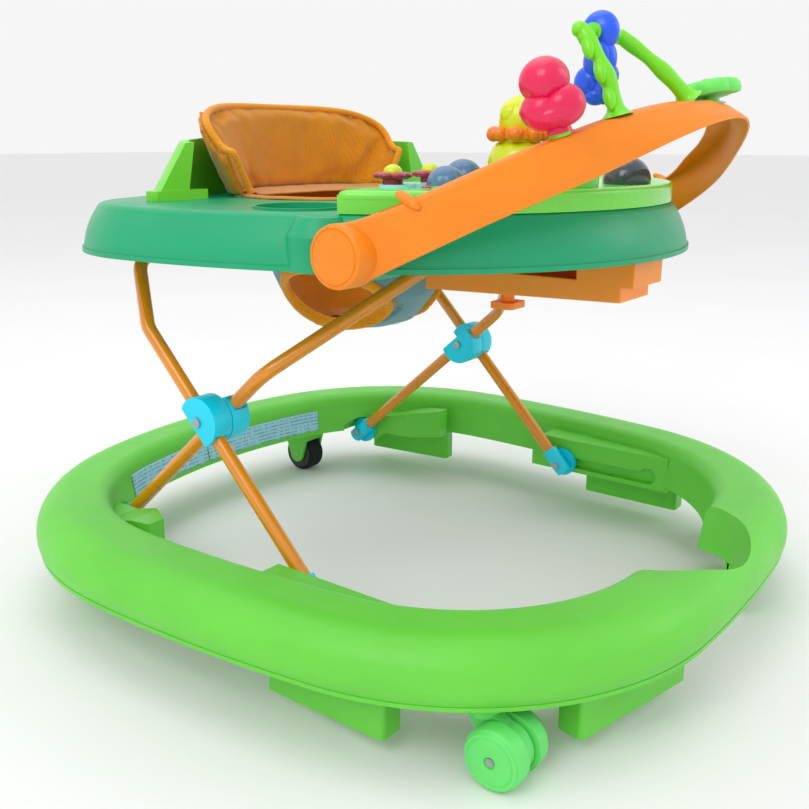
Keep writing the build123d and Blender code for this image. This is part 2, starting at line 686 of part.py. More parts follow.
PIVOT_PIN_R = 9.0
PIVOT_FACE_X = 237.5
BULGE_AT = (229.0, -82.0)
BULGE_R = 27.0
with BuildPart() as tray_shell:
    add(swept_oval(TRAY_ARCS, tray_section))
    with BuildSketch(Plane.XY.offset(TRAY_TOP_Z - TRAY_WALL)):
        with BuildLine():
            draw_oval(TRAY_ARCS, PLATE_INSET)
        make_face()
    extrude(amount=TRAY_WALL)
    # pivot bosses of the toy arch: a hollow bulge, and a flat pocket for the arch's hub
    for side in SIDES.values():
        with BuildSketch(Plane.XY.offset(TRAY_RIM_Z)):
            with Locations((side * BULGE_AT[0], BULGE_AT[1])):
                Circle(BULGE_R)
        extrude(amount=26)
        with Locations((side * BULGE_AT[0], BULGE_AT[1], TRAY_RIM_Z + 26)):
            Cone(BULGE_R, BULGE_R - 9, 14, align=(Align.CENTER, Align.CENTER, Align.MIN))
        with BuildSketch(Plane.XY.offset(TRAY_RIM_Z - 1)):
            with Locations((side * BULGE_AT[0], BULGE_AT[1])):
                Circle(BULGE_R - TRAY_WALL)
        extrude(amount=28, mode=Mode.SUBTRACT)
        with BuildSketch(Plane.YZ.offset(side * PIVOT_FACE_X)):
            with Locations(HUB):
                Circle(HUB_R + 1)
        extrude(amount=side * 40, mode=Mode.SUBTRACT)
        with BuildSketch(Plane.YZ.offset(side * 196)):
            with BuildLine():
                Polyline((-80, 347), (-122, 347), (-122, 382), (-98, 382), (-86, 374), close=True)
            make_face()
        extrude(amount=side * 35.5)
        with BuildSketch(Plane.YZ.offset(side * 196)):
            with Locations(HUB):
                Circle(21)
        extrude(amount=side * (PIVOT_FACE_X - 196))
        with BuildSketch(Plane.YZ.offset(side * 196)):
            with Locations((-108, 362)):
                Rectangle(44, 25)
        extrude(amount=side * 32.5, mode=Mode.SUBTRACT)
        with BuildSketch(Plane.YZ.offset(side * (PIVOT_FACE_X - 3))):
            with Locations(HUB):
                Circle(PIVOT_PIN_R)
        extrude(amount=side * 21)
    # cup wells with a raised lip
    for side in SIDES.values():
        with BuildSketch(Plane.XY.offset(TRAY_TOP_Z - CUP_DEPTH - 1.5)):
            with Locations((side * CUP_AT[0], CUP_AT[1])):
                Circle(CUP_R + 2.5)
        extrude(amount=CUP_DEPTH + 3.5)
        with BuildSketch(Plane.XY.offset(TRAY_TOP_Z - CUP_DEPTH)):
            with Locations((side * CUP_AT[0], CUP_AT[1])):
                Circle(CUP_R)
        extrude(amount=CUP_DEPTH + 3, mode=Mode.SUBTRACT)
    # seat opening
    with BuildSketch(Plane.XY.offset(TRAY_TOP_Z - 20)):
        with Locations((0, SEAT_Y)):
            Ellipse(SEAT_HALF_WIDTH, SEAT_HALF_LENGTH)
    extrude(amount=40, mode=Mode.SUBTRACT)
save(tray_shell, "tray_shell")

# bearings under the tray for the outer frame's cross bar
BEARING_X = 150.0
with BuildPart() as rear_bearings:
    for side in SIDES.values():
        with BuildSketch(Plane.YZ.offset(side * BEARING_X - 8)):
            with BuildLine():
                Polyline(
                    (TRAY_PIVOT[0] - 11, TRAY_PIVOT[1]),
                    (TRAY_PIVOT[0] - 16, TRAY_TOP_Z - TRAY_WALL),
                    (TRAY_PIVOT[0] + 2, TRAY_TOP_Z - TRAY_WALL),
                    (TRAY_PIVOT[0] + 11, TRAY_TOP_Z - 8),
                    (TRAY_PIVOT[0] + 11, TRAY_PIVOT[1]),
                    close=True,
                )
            make_face()
            with Locations(TRAY_PIVOT):
                Circle(11)
                Circle(TUBE_OD / 2 + RUN, mode=Mode.SUBTRACT)
        extrude(amount=16)
    add(tray_shell.part, mode=Mode.SUBTRACT)
save(rear_bearings, "rear_bearings")

# height rail: an open-sided box under the tray that the inner frame's cross bar slides in
RAIL_HALF = 30.0
RAIL_WALL = 3.0
RAIL_BACK_Y = -38.0
RAIL_FRONT_Y = -248.0
SLOT_TOP_Z = RAIL_BAR[1] + TUBE_OD / 2 + 1.5
SLOT_LOW_Z = RAIL_BAR[1] - TUBE_OD / 2 - 1.5
BAR_FRONT_Y = RAIL_BAR[0] - RAIL_TRAVEL
with BuildPart() as height_rail:
    with BuildSketch(Plane.YZ.offset(-RAIL_HALF)):
        with BuildLine():
            Polyline(
                (RAIL_BACK_Y, 303.5),
                (-237, 309),
                (-237, 322),
                (RAIL_FRONT_Y, 322),
                (RAIL_FRONT_Y, 343),
                (-230, 346),
                (-230, TRAY_TOP_Z - TRAY_WALL),
                (RAIL_BACK_Y, TRAY_TOP_Z - TRAY_WALL),
                close=True,
            )
        make_face()
    extrude(amount=2 * RAIL_HALF)
    # hollow inside, and the slot for the bar
    with BuildSketch(Plane.YZ.offset(-RAIL_HALF + RAIL_WALL)):
        with BuildLine():
            Polyline(
                (RAIL_BACK_Y - RAIL_WALL, 306.5),
                (-234, 312),
                (-234, 325),
                (RAIL_FRONT_Y + RAIL_WALL, 325),
                (RAIL_FRONT_Y + RAIL_WALL, 340),
                (-239, 343),
                (RAIL_BACK_Y - RAIL_WALL, 343),
                close=True,
            )
        make_face()
    extrude(amount=2 * (RAIL_HALF - RAIL_WALL), mode=Mode.SUBTRACT)
    with BuildSketch(Plane.YZ.offset(-RAIL_HALF)):
        with BuildLine():
            Polyline(
                (RAIL_BAR[0] + 9, SLOT_LOW_Z),
                (BAR_FRONT_Y - 9, SLOT_LOW_Z),
                (BAR_FRONT_Y - 9, SLOT_TOP_Z),
                (RAIL_BAR[0] + 9, SLOT_TOP_Z),
                close=True,
            )
        make_face()
    extrude(amount=2 * RAIL_HALF, mode=Mode.SUBTRACT)
    # hollow above the slot, between the hangers
    with BuildSketch(Plane.YZ.offset(-RAIL_HALF)):
        with Locations(((RAIL_BACK_Y - 230) / 2, TRAY_TOP_Z - 18)):
            Rectangle(230 + RAIL_BACK_Y - 16, 36)
    extrude(amount=2 * RAIL_HALF, mode=Mode.SUBTRACT)
    add(tray_shell.part, mode=Mode.SUBTRACT)
    # seat for the height latch
    with Locations((0, -112, 305)):
        Cylinder(6.3, 12, mode=Mode.SUBTRACT)
save(height_rail, "height_rail")

with BuildPart() as height_latch:
    with BuildSketch(Plane.XY.offset(289)):
        with Locations((0, -112)):
            RectangleRounded(28, 24, 4)
    extrude(amount=6)
    with BuildSketch(Plane.XY.offset(295)):
        with Locations((0, -112)):
            Circle(6.2)
    extrude(amount=18)
    with BuildSketch(Plane.XY.offset(312)):
        with Locations((0, -112)):
            Circle(9)
    extrude(amount=3)
save(height_latch, "height_latch")

# ---------------------------------------------------------------- seat
BACK_Y = 120.0
BACK_LOW_Z = 390.5
BACK_TOP_Z = 474.0
PAD = 11.0


def horseshoe(low, top, z_low, z_top):
    """Solid between a low and a top ellipse (half width, half length) about the back's centre."""
    with BuildPart() as body:
        for (half_width, half_length), z in ((low, z_low), (top, z_top)):
            with BuildSketch(Plane.XY.offset(z)):
                with Locations((0, BACK_Y)):
                    Ellipse(half_width, half_length)
        loft()
    return body.part


def front_view(half_width, low_z, side_z, top_z, start_y):
    """Prism along Y whose front view has rounded shoulders."""
    with BuildPart() as prism:
        with BuildSketch(Plane.XZ.offset(-start_y)):
            with BuildLine():
                Polyline(
                    (-half_width, side_z - 30),
                    (-half_width + 6, low_z),
                    (half_width - 6, low_z),
                    (half_width, side_z - 30),
                )
                right = ThreePointArc(
                    (half_width, side_z - 30),
                    (half_width - 3, side_z - 12),
                    (half_width - 14, side_z),
                )
                ThreePointArc(right @ 1, (0, top_z), (-half_width + 14, side_z))
                ThreePointArc(
                    (-half_width + 14, side_z),
                    (-half_width + 3, side_z - 12),
                    (-half_width, side_z - 30),
                )
            make_face()
        extrude(amount=-140)
    return prism.part


BACK_LOW = (104.0, 50.0)
BACK_TOP = (152.0, 58.0)
with BuildPart() as seat_back:
    add(horseshoe(
        (BACK_LOW[0] + PAD, BACK_LOW[1] + PAD),
        (BACK_TOP[0] + PAD, BACK_TOP[1] + PAD),
        BACK_LOW_Z,
        BACK_TOP_Z + 2,
    ))
    add(horseshoe(BACK_LOW, BACK_TOP, BACK_LOW_Z - 0.01, BACK_TOP_Z + 2.01), mode=Mode.SUBTRACT)
    add(front_view(163, BACK_LOW_Z, 450, BACK_TOP_Z, BACK_Y + 4), mode=Mode.INTERSECT)
save(seat_back, "seat_back")

SUPPORT_OUTSIDE = ((214.0, 94.0), (170.0, 82.0))
SUPPORT_INSIDE = ((176.0, 80.0), (164.0, 76.0))
SUPPORT_TOP_Z = 446.0
SUPPORT_FRONT_Y = 127.0
with BuildPart() as support_cavity:
    add(horseshoe((211.0, 91.0), (179.0, 82.3), TRAY_TOP_Z - 0.01, 430))
    add(horseshoe((179.0, 83.0), (170.3, 80.1), TRAY_TOP_Z - 0.02, 430.01), mode=Mode.SUBTRACT)
    add(front_view(216, TRAY_TOP_Z - 1, 440, 470, SUPPORT_FRONT_Y + 3), mode=Mode.INTERSECT)

with BuildPart() as back_support:
    # a wing on each side, joined behind the seat back and hollow from below
    add(horseshoe(*SUPPORT_OUTSIDE, TRAY_TOP_Z, SUPPORT_TOP_Z))
    add(horseshoe(*SUPPORT_INSIDE, TRAY_TOP_Z - 0.01, SUPPORT_TOP_Z + 0.01), mode=Mode.SUBTRACT)
    add(front_view(216, TRAY_TOP_Z, 436, 446, SUPPORT_FRONT_Y), mode=Mode.INTERSECT)
    add(support_cavity.part, mode=Mode.SUBTRACT)
    # foot bar along each wing's front
    for side in SIDES.values():
        with BuildSketch(Plane.XY.offset(TRAY_TOP_Z)):
            with Locations((side * 182.5, SUPPORT_FRONT_Y + 6)):
                RectangleRounded(65, 16, 5)
        extrude(amount=9)
    # room for the seat back
    add(
        horseshoe(
            (BACK_LOW[0] + PAD + 1, BACK_LOW[1] + PAD + 1),
            (BACK_TOP[0] + PAD + 1, BACK_TOP[1] + PAD + 1),
            BACK_LOW_Z - 0.5,
            BACK_TOP_Z + 2,
        ),
        mode=Mode.SUBTRACT,
    )
save(back_support, "back_support")

# seat bag: open on top, with two leg holes and a crotch strap between them
BAG_WALL = 2.5
BAG_LEVELS = (
    (TRAY_TOP_Z + 1.5, SEAT_Y, SEAT_HALF_WIDTH - 1, SEAT_HALF_LENGTH - 1),
    (335.0, 68.0, 102.0, 91.0),
    (292.0, 66.0, 84.0, 80.0),
    (257.0, 66.0, 52.0, 50.0),
)


def bag_solid(inset):
    with BuildPart() as bag:
        for z, y, half_width, half_length in BAG_LEVELS:
            rise = inset if z < 260 else 0
            with BuildSketch(Plane.XY.offset(z + rise)):
                with Locations((0, y)):
                    Ellipse(half_width - inset, half_length - inset)
        loft()
    return bag.part


with BuildPart() as seat_bag:
    add(bag_solid(0.0))
    add(bag_solid(BAG_WALL), mode=Mode.SUBTRACT)
    for side in SIDES.values():
        with BuildSketch(Plane.YZ.offset(side * 30)):
            with Locations((50, 293)):
                Ellipse(52, 31)
        extrude(amount=side * 80, mode=Mode.SUBTRACT)
save(seat_bag, "seat_bag")

with BuildPart() as seat_cushion:
    with BuildSketch(Plane.XY.offset(261)):
        with Locations((0, 68)):
            Ellipse(30, 40)
    extrude(amount=7)
    fillet(edges().filter_by(GeomType.ELLIPSE), 2)
save(seat_cushion, "seat_cushion")

# ---------------------------------------------------------------- play tray
PLAY_LOW_Z = TRAY_TOP_Z
PLAY_EDGE_Z = 402.0
PLAY_INSET = 18.0
PLAY_BACK_Y = -38.0
FLOWERS = {"left": (-58.0, -62.0), "right": (-116.0, -64.0)}
GREY_AT = (-94.0, -112.0)
BUTTON_R = 9.0
BUTTON_GAP = 0.3
BUTTON_TRAVEL = 3.0
CLOUD_THICK = 3.0
with BuildPart() as play_tray:
    with BuildSketch(Plane.XY.offset(PLAY_LOW_Z)):
        with BuildLine():
            draw_oval(TRAY_ARCS, PLAY_INSET)
        make_face()
        with Locations((0, PLAY_BACK_Y + 250)):
            Rectangle(700, 500, mode=Mode.SUBTRACT)
        with Locations((220, 5), (-220, 5)):
            Rectangle(148, 200, mode=Mode.SUBTRACT)
    extrude(amount=PLAY_EDGE_Z - PLAY_LOW_Z)
    # clear of the seat opening, the cup wells and the tray's shoulder
    with BuildSketch(Plane.XY.offset(PLAY_LOW_Z)):
        with Locations((0, SEAT_Y)):
            Ellipse(SEAT_HALF_WIDTH + 14, SEAT_HALF_LENGTH + 14)
        with Locations((CUP_AT[0], CUP_AT[1]), (-CUP_AT[0], CUP_AT[1])):
            Circle(CUP_R + 6)
        with Locations(*FLOWERS.values(), GREY_AT):
            Circle(BUTTON_R + BUTTON_GAP)
    extrude(amount=40, mode=Mode.SUBTRACT)
    add(tray_shell.part, mode=Mode.SUBTRACT)
save(play_tray, "play_tray")

# ---------------------------------------------------------------- toy arch
def arch_top(x):
    """Top outer edge of the arch at a distance x from its middle: (y, z)."""
    share = min(1.0, abs(x) / ARCH_HALF_WIDTH)
    reach = ARCH_REACH * (1 - share**2.05) ** (1 / 2.05)
    return ARCH_START_Y - reach, 374 + 0.37 * reach + 0.0007 * reach**2


def arch_station(x):
    """Corner, heading into the arch, wall drop, flare and top width of the section at x."""
    y, z = arch_top(x)
    step = 0.5
    if x > 0:
        step = -step
    y_next = arch_top(x + step)[0]
    along = (step, y_next - y)
    if step < 0:
        along = (-along[0], -along[1])
    length = hypot(*along)
    inward = (-along[1] / length, along[0] / length)
    share = abs(x) / ARCH_HALF_WIDTH
    drop = 13 + 24 * sin(min(1.0, share / 0.65) * 1.5708) ** 2 + 8 * share**6
    flare = 22 * cos(min(1.0, share / 0.6) * 1.5708) ** 2
    top_width = 3.2 + (26.8 - 14 * share) * min(1.0, (0.9634 - share) / 0.12)
    return (x, y, z), inward, drop, flare, top_width


def arch_section(corner, inward, drop, flare, top_width):
    """Sketch of the arch's section: an outer wall and a top plate."""
    wall = ARCH_WALL
    plane = Plane(
        origin=corner,
        x_dir=(inward[0], inward[1], 0),
        z_dir=(inward[1], -inward[0], 0),
    )
    with BuildSketch(plane) as section:
        with BuildLine():
            Polyline(
                (0, 0),
                (top_width, 0),
                (top_width, -wall),
                (wall, -wall),
                (wall - flare, -drop),
                (-flare, -drop),
                close=True,
            )
        make_face()
    return section.sketch


HUB_OUT_X = 262.0
HUB_IN_X = 238.0
HUB_STATION = (HUB_OUT_X - 2, HUB[0], HUB[1] + HUB_R - 0.5)
ARCH_X = (236.0, 222.0, 200.0, 170.0, 135.0, 100.0, 72.0, 47.0, 23.0, 0.0)

with BuildPart() as toy_arch:
    sections = []
    sections.append(arch_section(HUB_STATION, (-1, 0), 2 * HUB_R - 1, 0, HUB_STATION[0] - HUB_IN_X))
    for x in ARCH_X:
        sections.append(arch_section(*arch_station(x)))
    for x in reversed(ARCH_X[:-1]):
        sections.append(arch_section(*arch_station(-x)))
    mirror_hub = (-HUB_STATION[0], HUB_STATION[1], HUB_STATION[2])
    sections.append(arch_section(mirror_hub, (1, 0), 2 * HUB_R - 1, 0, HUB_STATION[0] - HUB_IN_X))
    for one, following in zip(sections[:-1], sections[1:]):
        loft([one, following], ruled=True)
    for side in SIDES.values():
        with BuildSketch(Plane.YZ.offset(side * HUB_IN_X)):
            with Locations(HUB):
                Circle(HUB_R)
        extrude(amount=side * (HUB_OUT_X - HUB_IN_X))
        with BuildSketch(Plane.YZ.offset(side * HUB_IN_X)):
            with Locations(HUB):
                Circle(PIVOT_PIN_R + RUN)
        extrude(amount=side * 18, mode=Mode.SUBTRACT)
save(toy_arch, "toy_arch")

with BuildPart() as arch_hub_caps:
    for side in SIDES.values():
        with BuildSketch(Plane.YZ.offset(side * HUB_OUT_X)):
            with Locations(HUB):
                Circle(HUB_R - 3)
        extrude(amount=side * 1.2)
save(arch_hub_caps, "arch_hub_caps")


def on_arch(x, inset):
    """Point on the arch's top plate, inset from its outer edge at x."""
    (corner_x, y, z), inward, _, _, _ = arch_station(x)
    return corner_x + inward[0] * inset, y + inward[1] * inset, z


# posts of the two turning toys; each leans with the arch under it
RED_POST = on_arch(-160, 9)
LEAF_POST = on_arch(30, 14)
RED_AXIS = Axis(RED_POST, (-0.551, -0.834, 0))
RED_LEAN = 17.6
LEAF_AXIS = Axis(LEAF_POST, (-1, 0, 0))
LEAF_LEAN = 12.0
POST_R = 3.0


def toy_post(spot, foot_r, height):
    with BuildPart(Location(spot)) as post:
        Cylinder(foot_r, 2.5, align=(Align.CENTER, Align.CENTER, Align.MIN))
        Cylinder(POST_R, height, align=(Align.CENTER, Align.CENTER, Align.MIN))
    return post.part


with BuildPart() as toy_posts:
    add(toy_post(RED_POST, 8, 26).rotate(RED_AXIS, RED_LEAN))
    add(toy_post(LEAF_POST, 9, 19).rotate(LEAF_AXIS, LEAF_LEAN))
    add(toy_arch.part, mode=Mode.SUBTRACT)
save(toy_posts, "toy_posts")

# red toy: a lobed body that spins on its post
with BuildPart() as upright_red:
    with Locations((RED_POST[0], RED_POST[1], RED_POST[2] + 3.5)):
        Cone(8, 6, 7, align=(Align.CENTER, Align.CENTER, Align.MIN))
    with Locations((RED_POST[0], RED_POST[1], RED_POST[2] + 21)):
        Sphere(15)
    for turn in range(0, 360, 90):
        across = radians(turn + 30)
        lobe_x = RED_POST[0] + 10 * cos(across)
        lobe_y = RED_POST[1] + 10 * sin(across)
        with Locations((lobe_x, lobe_y, RED_POST[2] + 22)):
            Sphere(14)
    with Locations((RED_POST[0], RED_POST[1], RED_POST[2] + 38)):
        Sphere(16)
    with Locations(RED_POST):
        Cylinder(
            POST_R + RUN, 26.5, align=(Align.CENTER, Align.CENTER, Align.MIN),
            mode=Mode.SUBTRACT,
        )
with BuildPart() as red_toy:
    add(upright_red.part.rotate(RED_AXIS, RED_LEAN))
save(red_toy, "red_toy")

# toy loop with a hanging blue toy
LOOP_R = 4.5
LOOP_BAR_Z = 517.0
LOOP_BAR_Y = -233.0
LOOP_BAR_X = (-120.0, -52.0)
LOOP_FEET = (on_arch(-115, 10), on_arch(-25, 10))
with BuildPart() as toy_loop:
    with BuildLine() as loop_path:
        FilletPolyline(
            (LOOP_FEET[0][0], LOOP_FEET[0][1], LOOP_FEET[0][2] + 4),
            (LOOP_BAR_X[0], LOOP_BAR_Y, LOOP_BAR_Z),
            (LOOP_BAR_X[1], LOOP_BAR_Y, LOOP_BAR_Z),
            (LOOP_FEET[1][0], LOOP_FEET[1][1], LOOP_FEET[1][2] + 4),
            radius=9,
        )
    with BuildSketch(Plane(origin=loop_path.wire() @ 0, z_dir=loop_path.wire() % 0)):
        Circle(LOOP_R)
    sweep(path=loop_path.wire())
    for spot in LOOP_FEET:
        with Locations(spot):
            Cylinder(9, 5, align=(Align.CENTER, Align.CENTER, Align.MIN))
    add(toy_arch.part, mode=Mode.SUBTRACT)
save(toy_loop, "toy_loop")

BLUE_X = (LOOP_BAR_X[0] + LOOP_BAR_X[1]) / 2
BLUE_HALF = 11.0
with BuildPart() as blue_toy:
    with Locations(Location((BLUE_X, LOOP_BAR_Y, LOOP_BAR_Z), (0, 90, 0))):
        Cylinder(13, 2 * BLUE_HALF)
    for drop, radius in ((16, 12), (30, 15), (42, 9)):
        with Locations((BLUE_X, LOOP_BAR_Y, LOOP_BAR_Z - drop)):
            Sphere(radius)
    with Locations(Location((BLUE_X, LOOP_BAR_Y, LOOP_BAR_Z), (0, 90, 0))):
        Cylinder(LOOP_R + RUN, 4 * BLUE_HALF, mode=Mode.SUBTRACT)
save(blue_toy, "blue_toy")

# leaf toy: a scalloped disc that turns on its post
LEAF_Z = 11.0
with BuildPart() as upright_leaf:
    with BuildSketch(Plane.XY.offset(LEAF_POST[2] + LEAF_Z - 6)):
        with Locations(LEAF_POST[:2]):
            Circle(17)
            with PolarLocations(14, 5):
                Circle(11)
    extrude(amount=13)
    with Locations(LEAF_POST):
        Cylinder(POST_R + RUN, 19.5, align=(Align.CENTER, Align.CENTER, Align.MIN), mode=Mode.SUBTRACT)
with BuildPart() as leaf_toy:
    add(upright_leaf.part.rotate(LEAF_AXIS, LEAF_LEAN))
save(leaf_toy, "leaf_toy")

# ---------------------------------------------------------------- play tray toys
# yellow dome with a turning bead collar
YELLOW_AT = (-50.0, -148.0)
COLLAR_Z = PLAY_EDGE_Z + 44
COLLAR_R = 19.0
with BuildPart() as yellow_dome:
    with BuildSketch(Plane.XY.offset(PLAY_EDGE_Z)):
        with Locations(YELLOW_AT):
            Circle(24)
    extrude(amount=8)
    with Locations((*YELLOW_AT, PLAY_EDGE_Z + 18)):
        Sphere(27)
    with BuildSketch(Plane.XY.offset(PLAY_EDGE_Z + 30)):
        with Locations(YELLOW_AT):
            Circle(COLLAR_R - 1)
    extrude(amount=24)
    with Locations((*YELLOW_AT, COLLAR_Z + 14)):
        Sphere(18)
    with BuildSketch(Plane.XY.offset(COLLAR_Z - 7)):
        with Locations(YELLOW_AT):
            Circle(60)
            Circle(COLLAR_R - 1, mode=Mode.SUBTRACT)
    extrude(amount=14, mode=Mode.SUBTRACT)
    with BuildSketch(Plane.XY.offset(PLAY_EDGE_Z - 30)):
        with Locations(YELLOW_AT):
            Circle(60)
    extrude(amount=30, mode=Mode.SUBTRACT)
save(yellow_dome, "yellow_dome")

with BuildPart() as bead_collar:
    with BuildSketch(Plane.XY.offset(COLLAR_Z - 4)):
        with Locations(YELLOW_AT):
            Circle(COLLAR_R + 4)
    extrude(amount=8)
    with Locations((*YELLOW_AT, COLLAR_Z)):
        with PolarLocations(COLLAR_R + 3, 9):
            Sphere(6.5)
    with BuildSketch(Plane.XY.offset(COLLAR_Z - 10)):
        with Locations(YELLOW_AT):
            Circle(COLLAR_R - 1 + RUN)
    extrude(amount=20, mode=Mode.SUBTRACT)
save(bead_collar, "bead_collar")

# roller on a column
ROLLER_AT = (-62.0, -205.0)
with BuildPart() as roller_column:
    with BuildSketch(Plane.XY.offset(PLAY_EDGE_Z)):
        with Locations(ROLLER_AT):
            Circle(20)
    extrude(amount=22)
    fillet(edges().filter_by(GeomType.CIRCLE).sort_by(Axis.Z)[-1], 3)
    with BuildSketch(Plane.XY.offset(PLAY_EDGE_Z + 22)):
        with Locations(ROLLER_AT):
            Circle(5)
    extrude(amount=20)
save(roller_column, "roller_column")

with BuildPart() as roller:
    with BuildSketch(Plane.XY.offset(PLAY_EDGE_Z + 22.4)):
        with Locations(ROLLER_AT):
            RegularPolygon(16, 12)
    extrude(amount=25)
    fillet(faces().sort_by(Axis.Z)[-1].edges(), 6)
    with BuildSketch(Plane.XY.offset(PLAY_EDGE_Z + 22)):
        with Locations(ROLLER_AT):
            Circle(5 + RUN)
    extrude(amount=20.5, mode=Mode.SUBTRACT)
save(roller, "roller")

# cloud panel round two flower buttons that press down
CLOUD_LOBES = ((-60, -62, 15), (-78, -56, 14), (-97, -58, 14), (-114, -66, 15), (-88, -70, 14))
with BuildPart() as cloud_panel:
    with BuildSketch(Plane.XY.offset(PLAY_EDGE_Z)):
        for lobe_x, lobe_y, lobe_r in CLOUD_LOBES:
            with Locations((lobe_x, lobe_y)):
                Circle(lobe_r)
        with Locations(*FLOWERS.values()):
            Circle(BUTTON_R + BUTTON_GAP, mode=Mode.SUBTRACT)
    extrude(amount=CLOUD_THICK)
save(cloud_panel, "cloud_panel")

PETAL_Z = PLAY_EDGE_Z + CLOUD_THICK + BUTTON_TRAVEL + 0.5
for name, spot in FLOWERS.items():
    with BuildPart() as flower_button:
        with BuildSketch(Plane.XY.offset(PLAY_LOW_Z + 5)):
            with Locations(spot):
                Circle(BUTTON_R)
        extrude(amount=PETAL_Z - PLAY_LOW_Z - 4)
        with BuildSketch(Plane.XY.offset(PETAL_Z)):
            with Locations(spot):
                Circle(10)
                with PolarLocations(10, 6):
                    Circle(7)
        extrude(amount=6)
        with Locations((*spot, PETAL_Z + 6)):
            Sphere(8)
    save(flower_button, f"flower_button_{name}")

# grey button of two domes
GREY_Z = PLAY_EDGE_Z + BUTTON_TRAVEL + 0.5
with BuildPart() as grey_dome:
    with Locations((-116, -118, GREY_Z)):
        Sphere(16)
    with Locations((-72, -106, GREY_Z + 3)):
        Sphere(17.5)
    with BuildSketch(Plane.XY.offset(GREY_Z - 30)):
        with Locations(GREY_AT):
            Circle(60)
    extrude(amount=30, mode=Mode.SUBTRACT)
    with BuildSketch(Plane.XY.offset(PLAY_LOW_Z + 5)):
        with Locations(GREY_AT):
            Circle(BUTTON_R)
    extrude(amount=GREY_Z - PLAY_LOW_Z)
save(grey_dome, "grey_dome")

# dark dome at the far side
DARK_AT = (75.0, -190.0)
with BuildPart() as dark_dome:
    with Locations((*DARK_AT, PLAY_EDGE_Z + 3)):
        Sphere(22)
    with BuildSketch(Plane.XY.offset(PLAY_EDGE_Z - 30)):
        with Locations(DARK_AT):
            Circle(60)
    extrude(amount=30, mode=Mode.SUBTRACT)
save(dark_dome, "dark_dome")
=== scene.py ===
import bpy
import bmesh
import json
import numpy as np
from math import atan2, cos, hypot, pi, radians, sin
from mathutils import Matrix, Vector, noise
from mathutils.bvhtree import BVHTree


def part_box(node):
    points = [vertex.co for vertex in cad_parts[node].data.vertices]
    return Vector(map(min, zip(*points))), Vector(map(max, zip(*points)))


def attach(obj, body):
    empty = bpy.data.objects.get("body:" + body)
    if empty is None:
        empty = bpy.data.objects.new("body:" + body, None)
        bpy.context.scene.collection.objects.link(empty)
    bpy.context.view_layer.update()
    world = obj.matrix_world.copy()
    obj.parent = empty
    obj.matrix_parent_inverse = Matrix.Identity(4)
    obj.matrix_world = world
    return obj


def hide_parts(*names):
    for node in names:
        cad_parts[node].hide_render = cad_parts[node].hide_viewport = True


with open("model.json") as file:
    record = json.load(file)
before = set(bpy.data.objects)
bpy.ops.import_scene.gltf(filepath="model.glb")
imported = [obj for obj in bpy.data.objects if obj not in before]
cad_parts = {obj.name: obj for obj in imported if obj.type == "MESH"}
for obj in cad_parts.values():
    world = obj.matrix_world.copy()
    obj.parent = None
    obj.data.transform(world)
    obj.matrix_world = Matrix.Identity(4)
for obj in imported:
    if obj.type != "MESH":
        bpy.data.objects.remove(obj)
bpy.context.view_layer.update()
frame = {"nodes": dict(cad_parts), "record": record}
NODES = frame["nodes"]
SIDES = {"left": 1, "right": -1}


# ------------------------------------------------------------------ materials
VIVID = 1.12                                    # makes up for the colour the white light takes out


def linear(r, g, b):
    """sRGB 0-255 as a linear colour."""
    out = []
    for c in (r, g, b):
        c = c / 255
        out.append(c / 12.92 if c <= 0.04045 else ((c + 0.055) / 1.055) ** 2.4)
    grey = 0.3 * out[0] + 0.59 * out[1] + 0.11 * out[2]
    return (*(min(1.0, max(0.0, grey + (c - grey) * VIVID)) for c in out), 1.0)


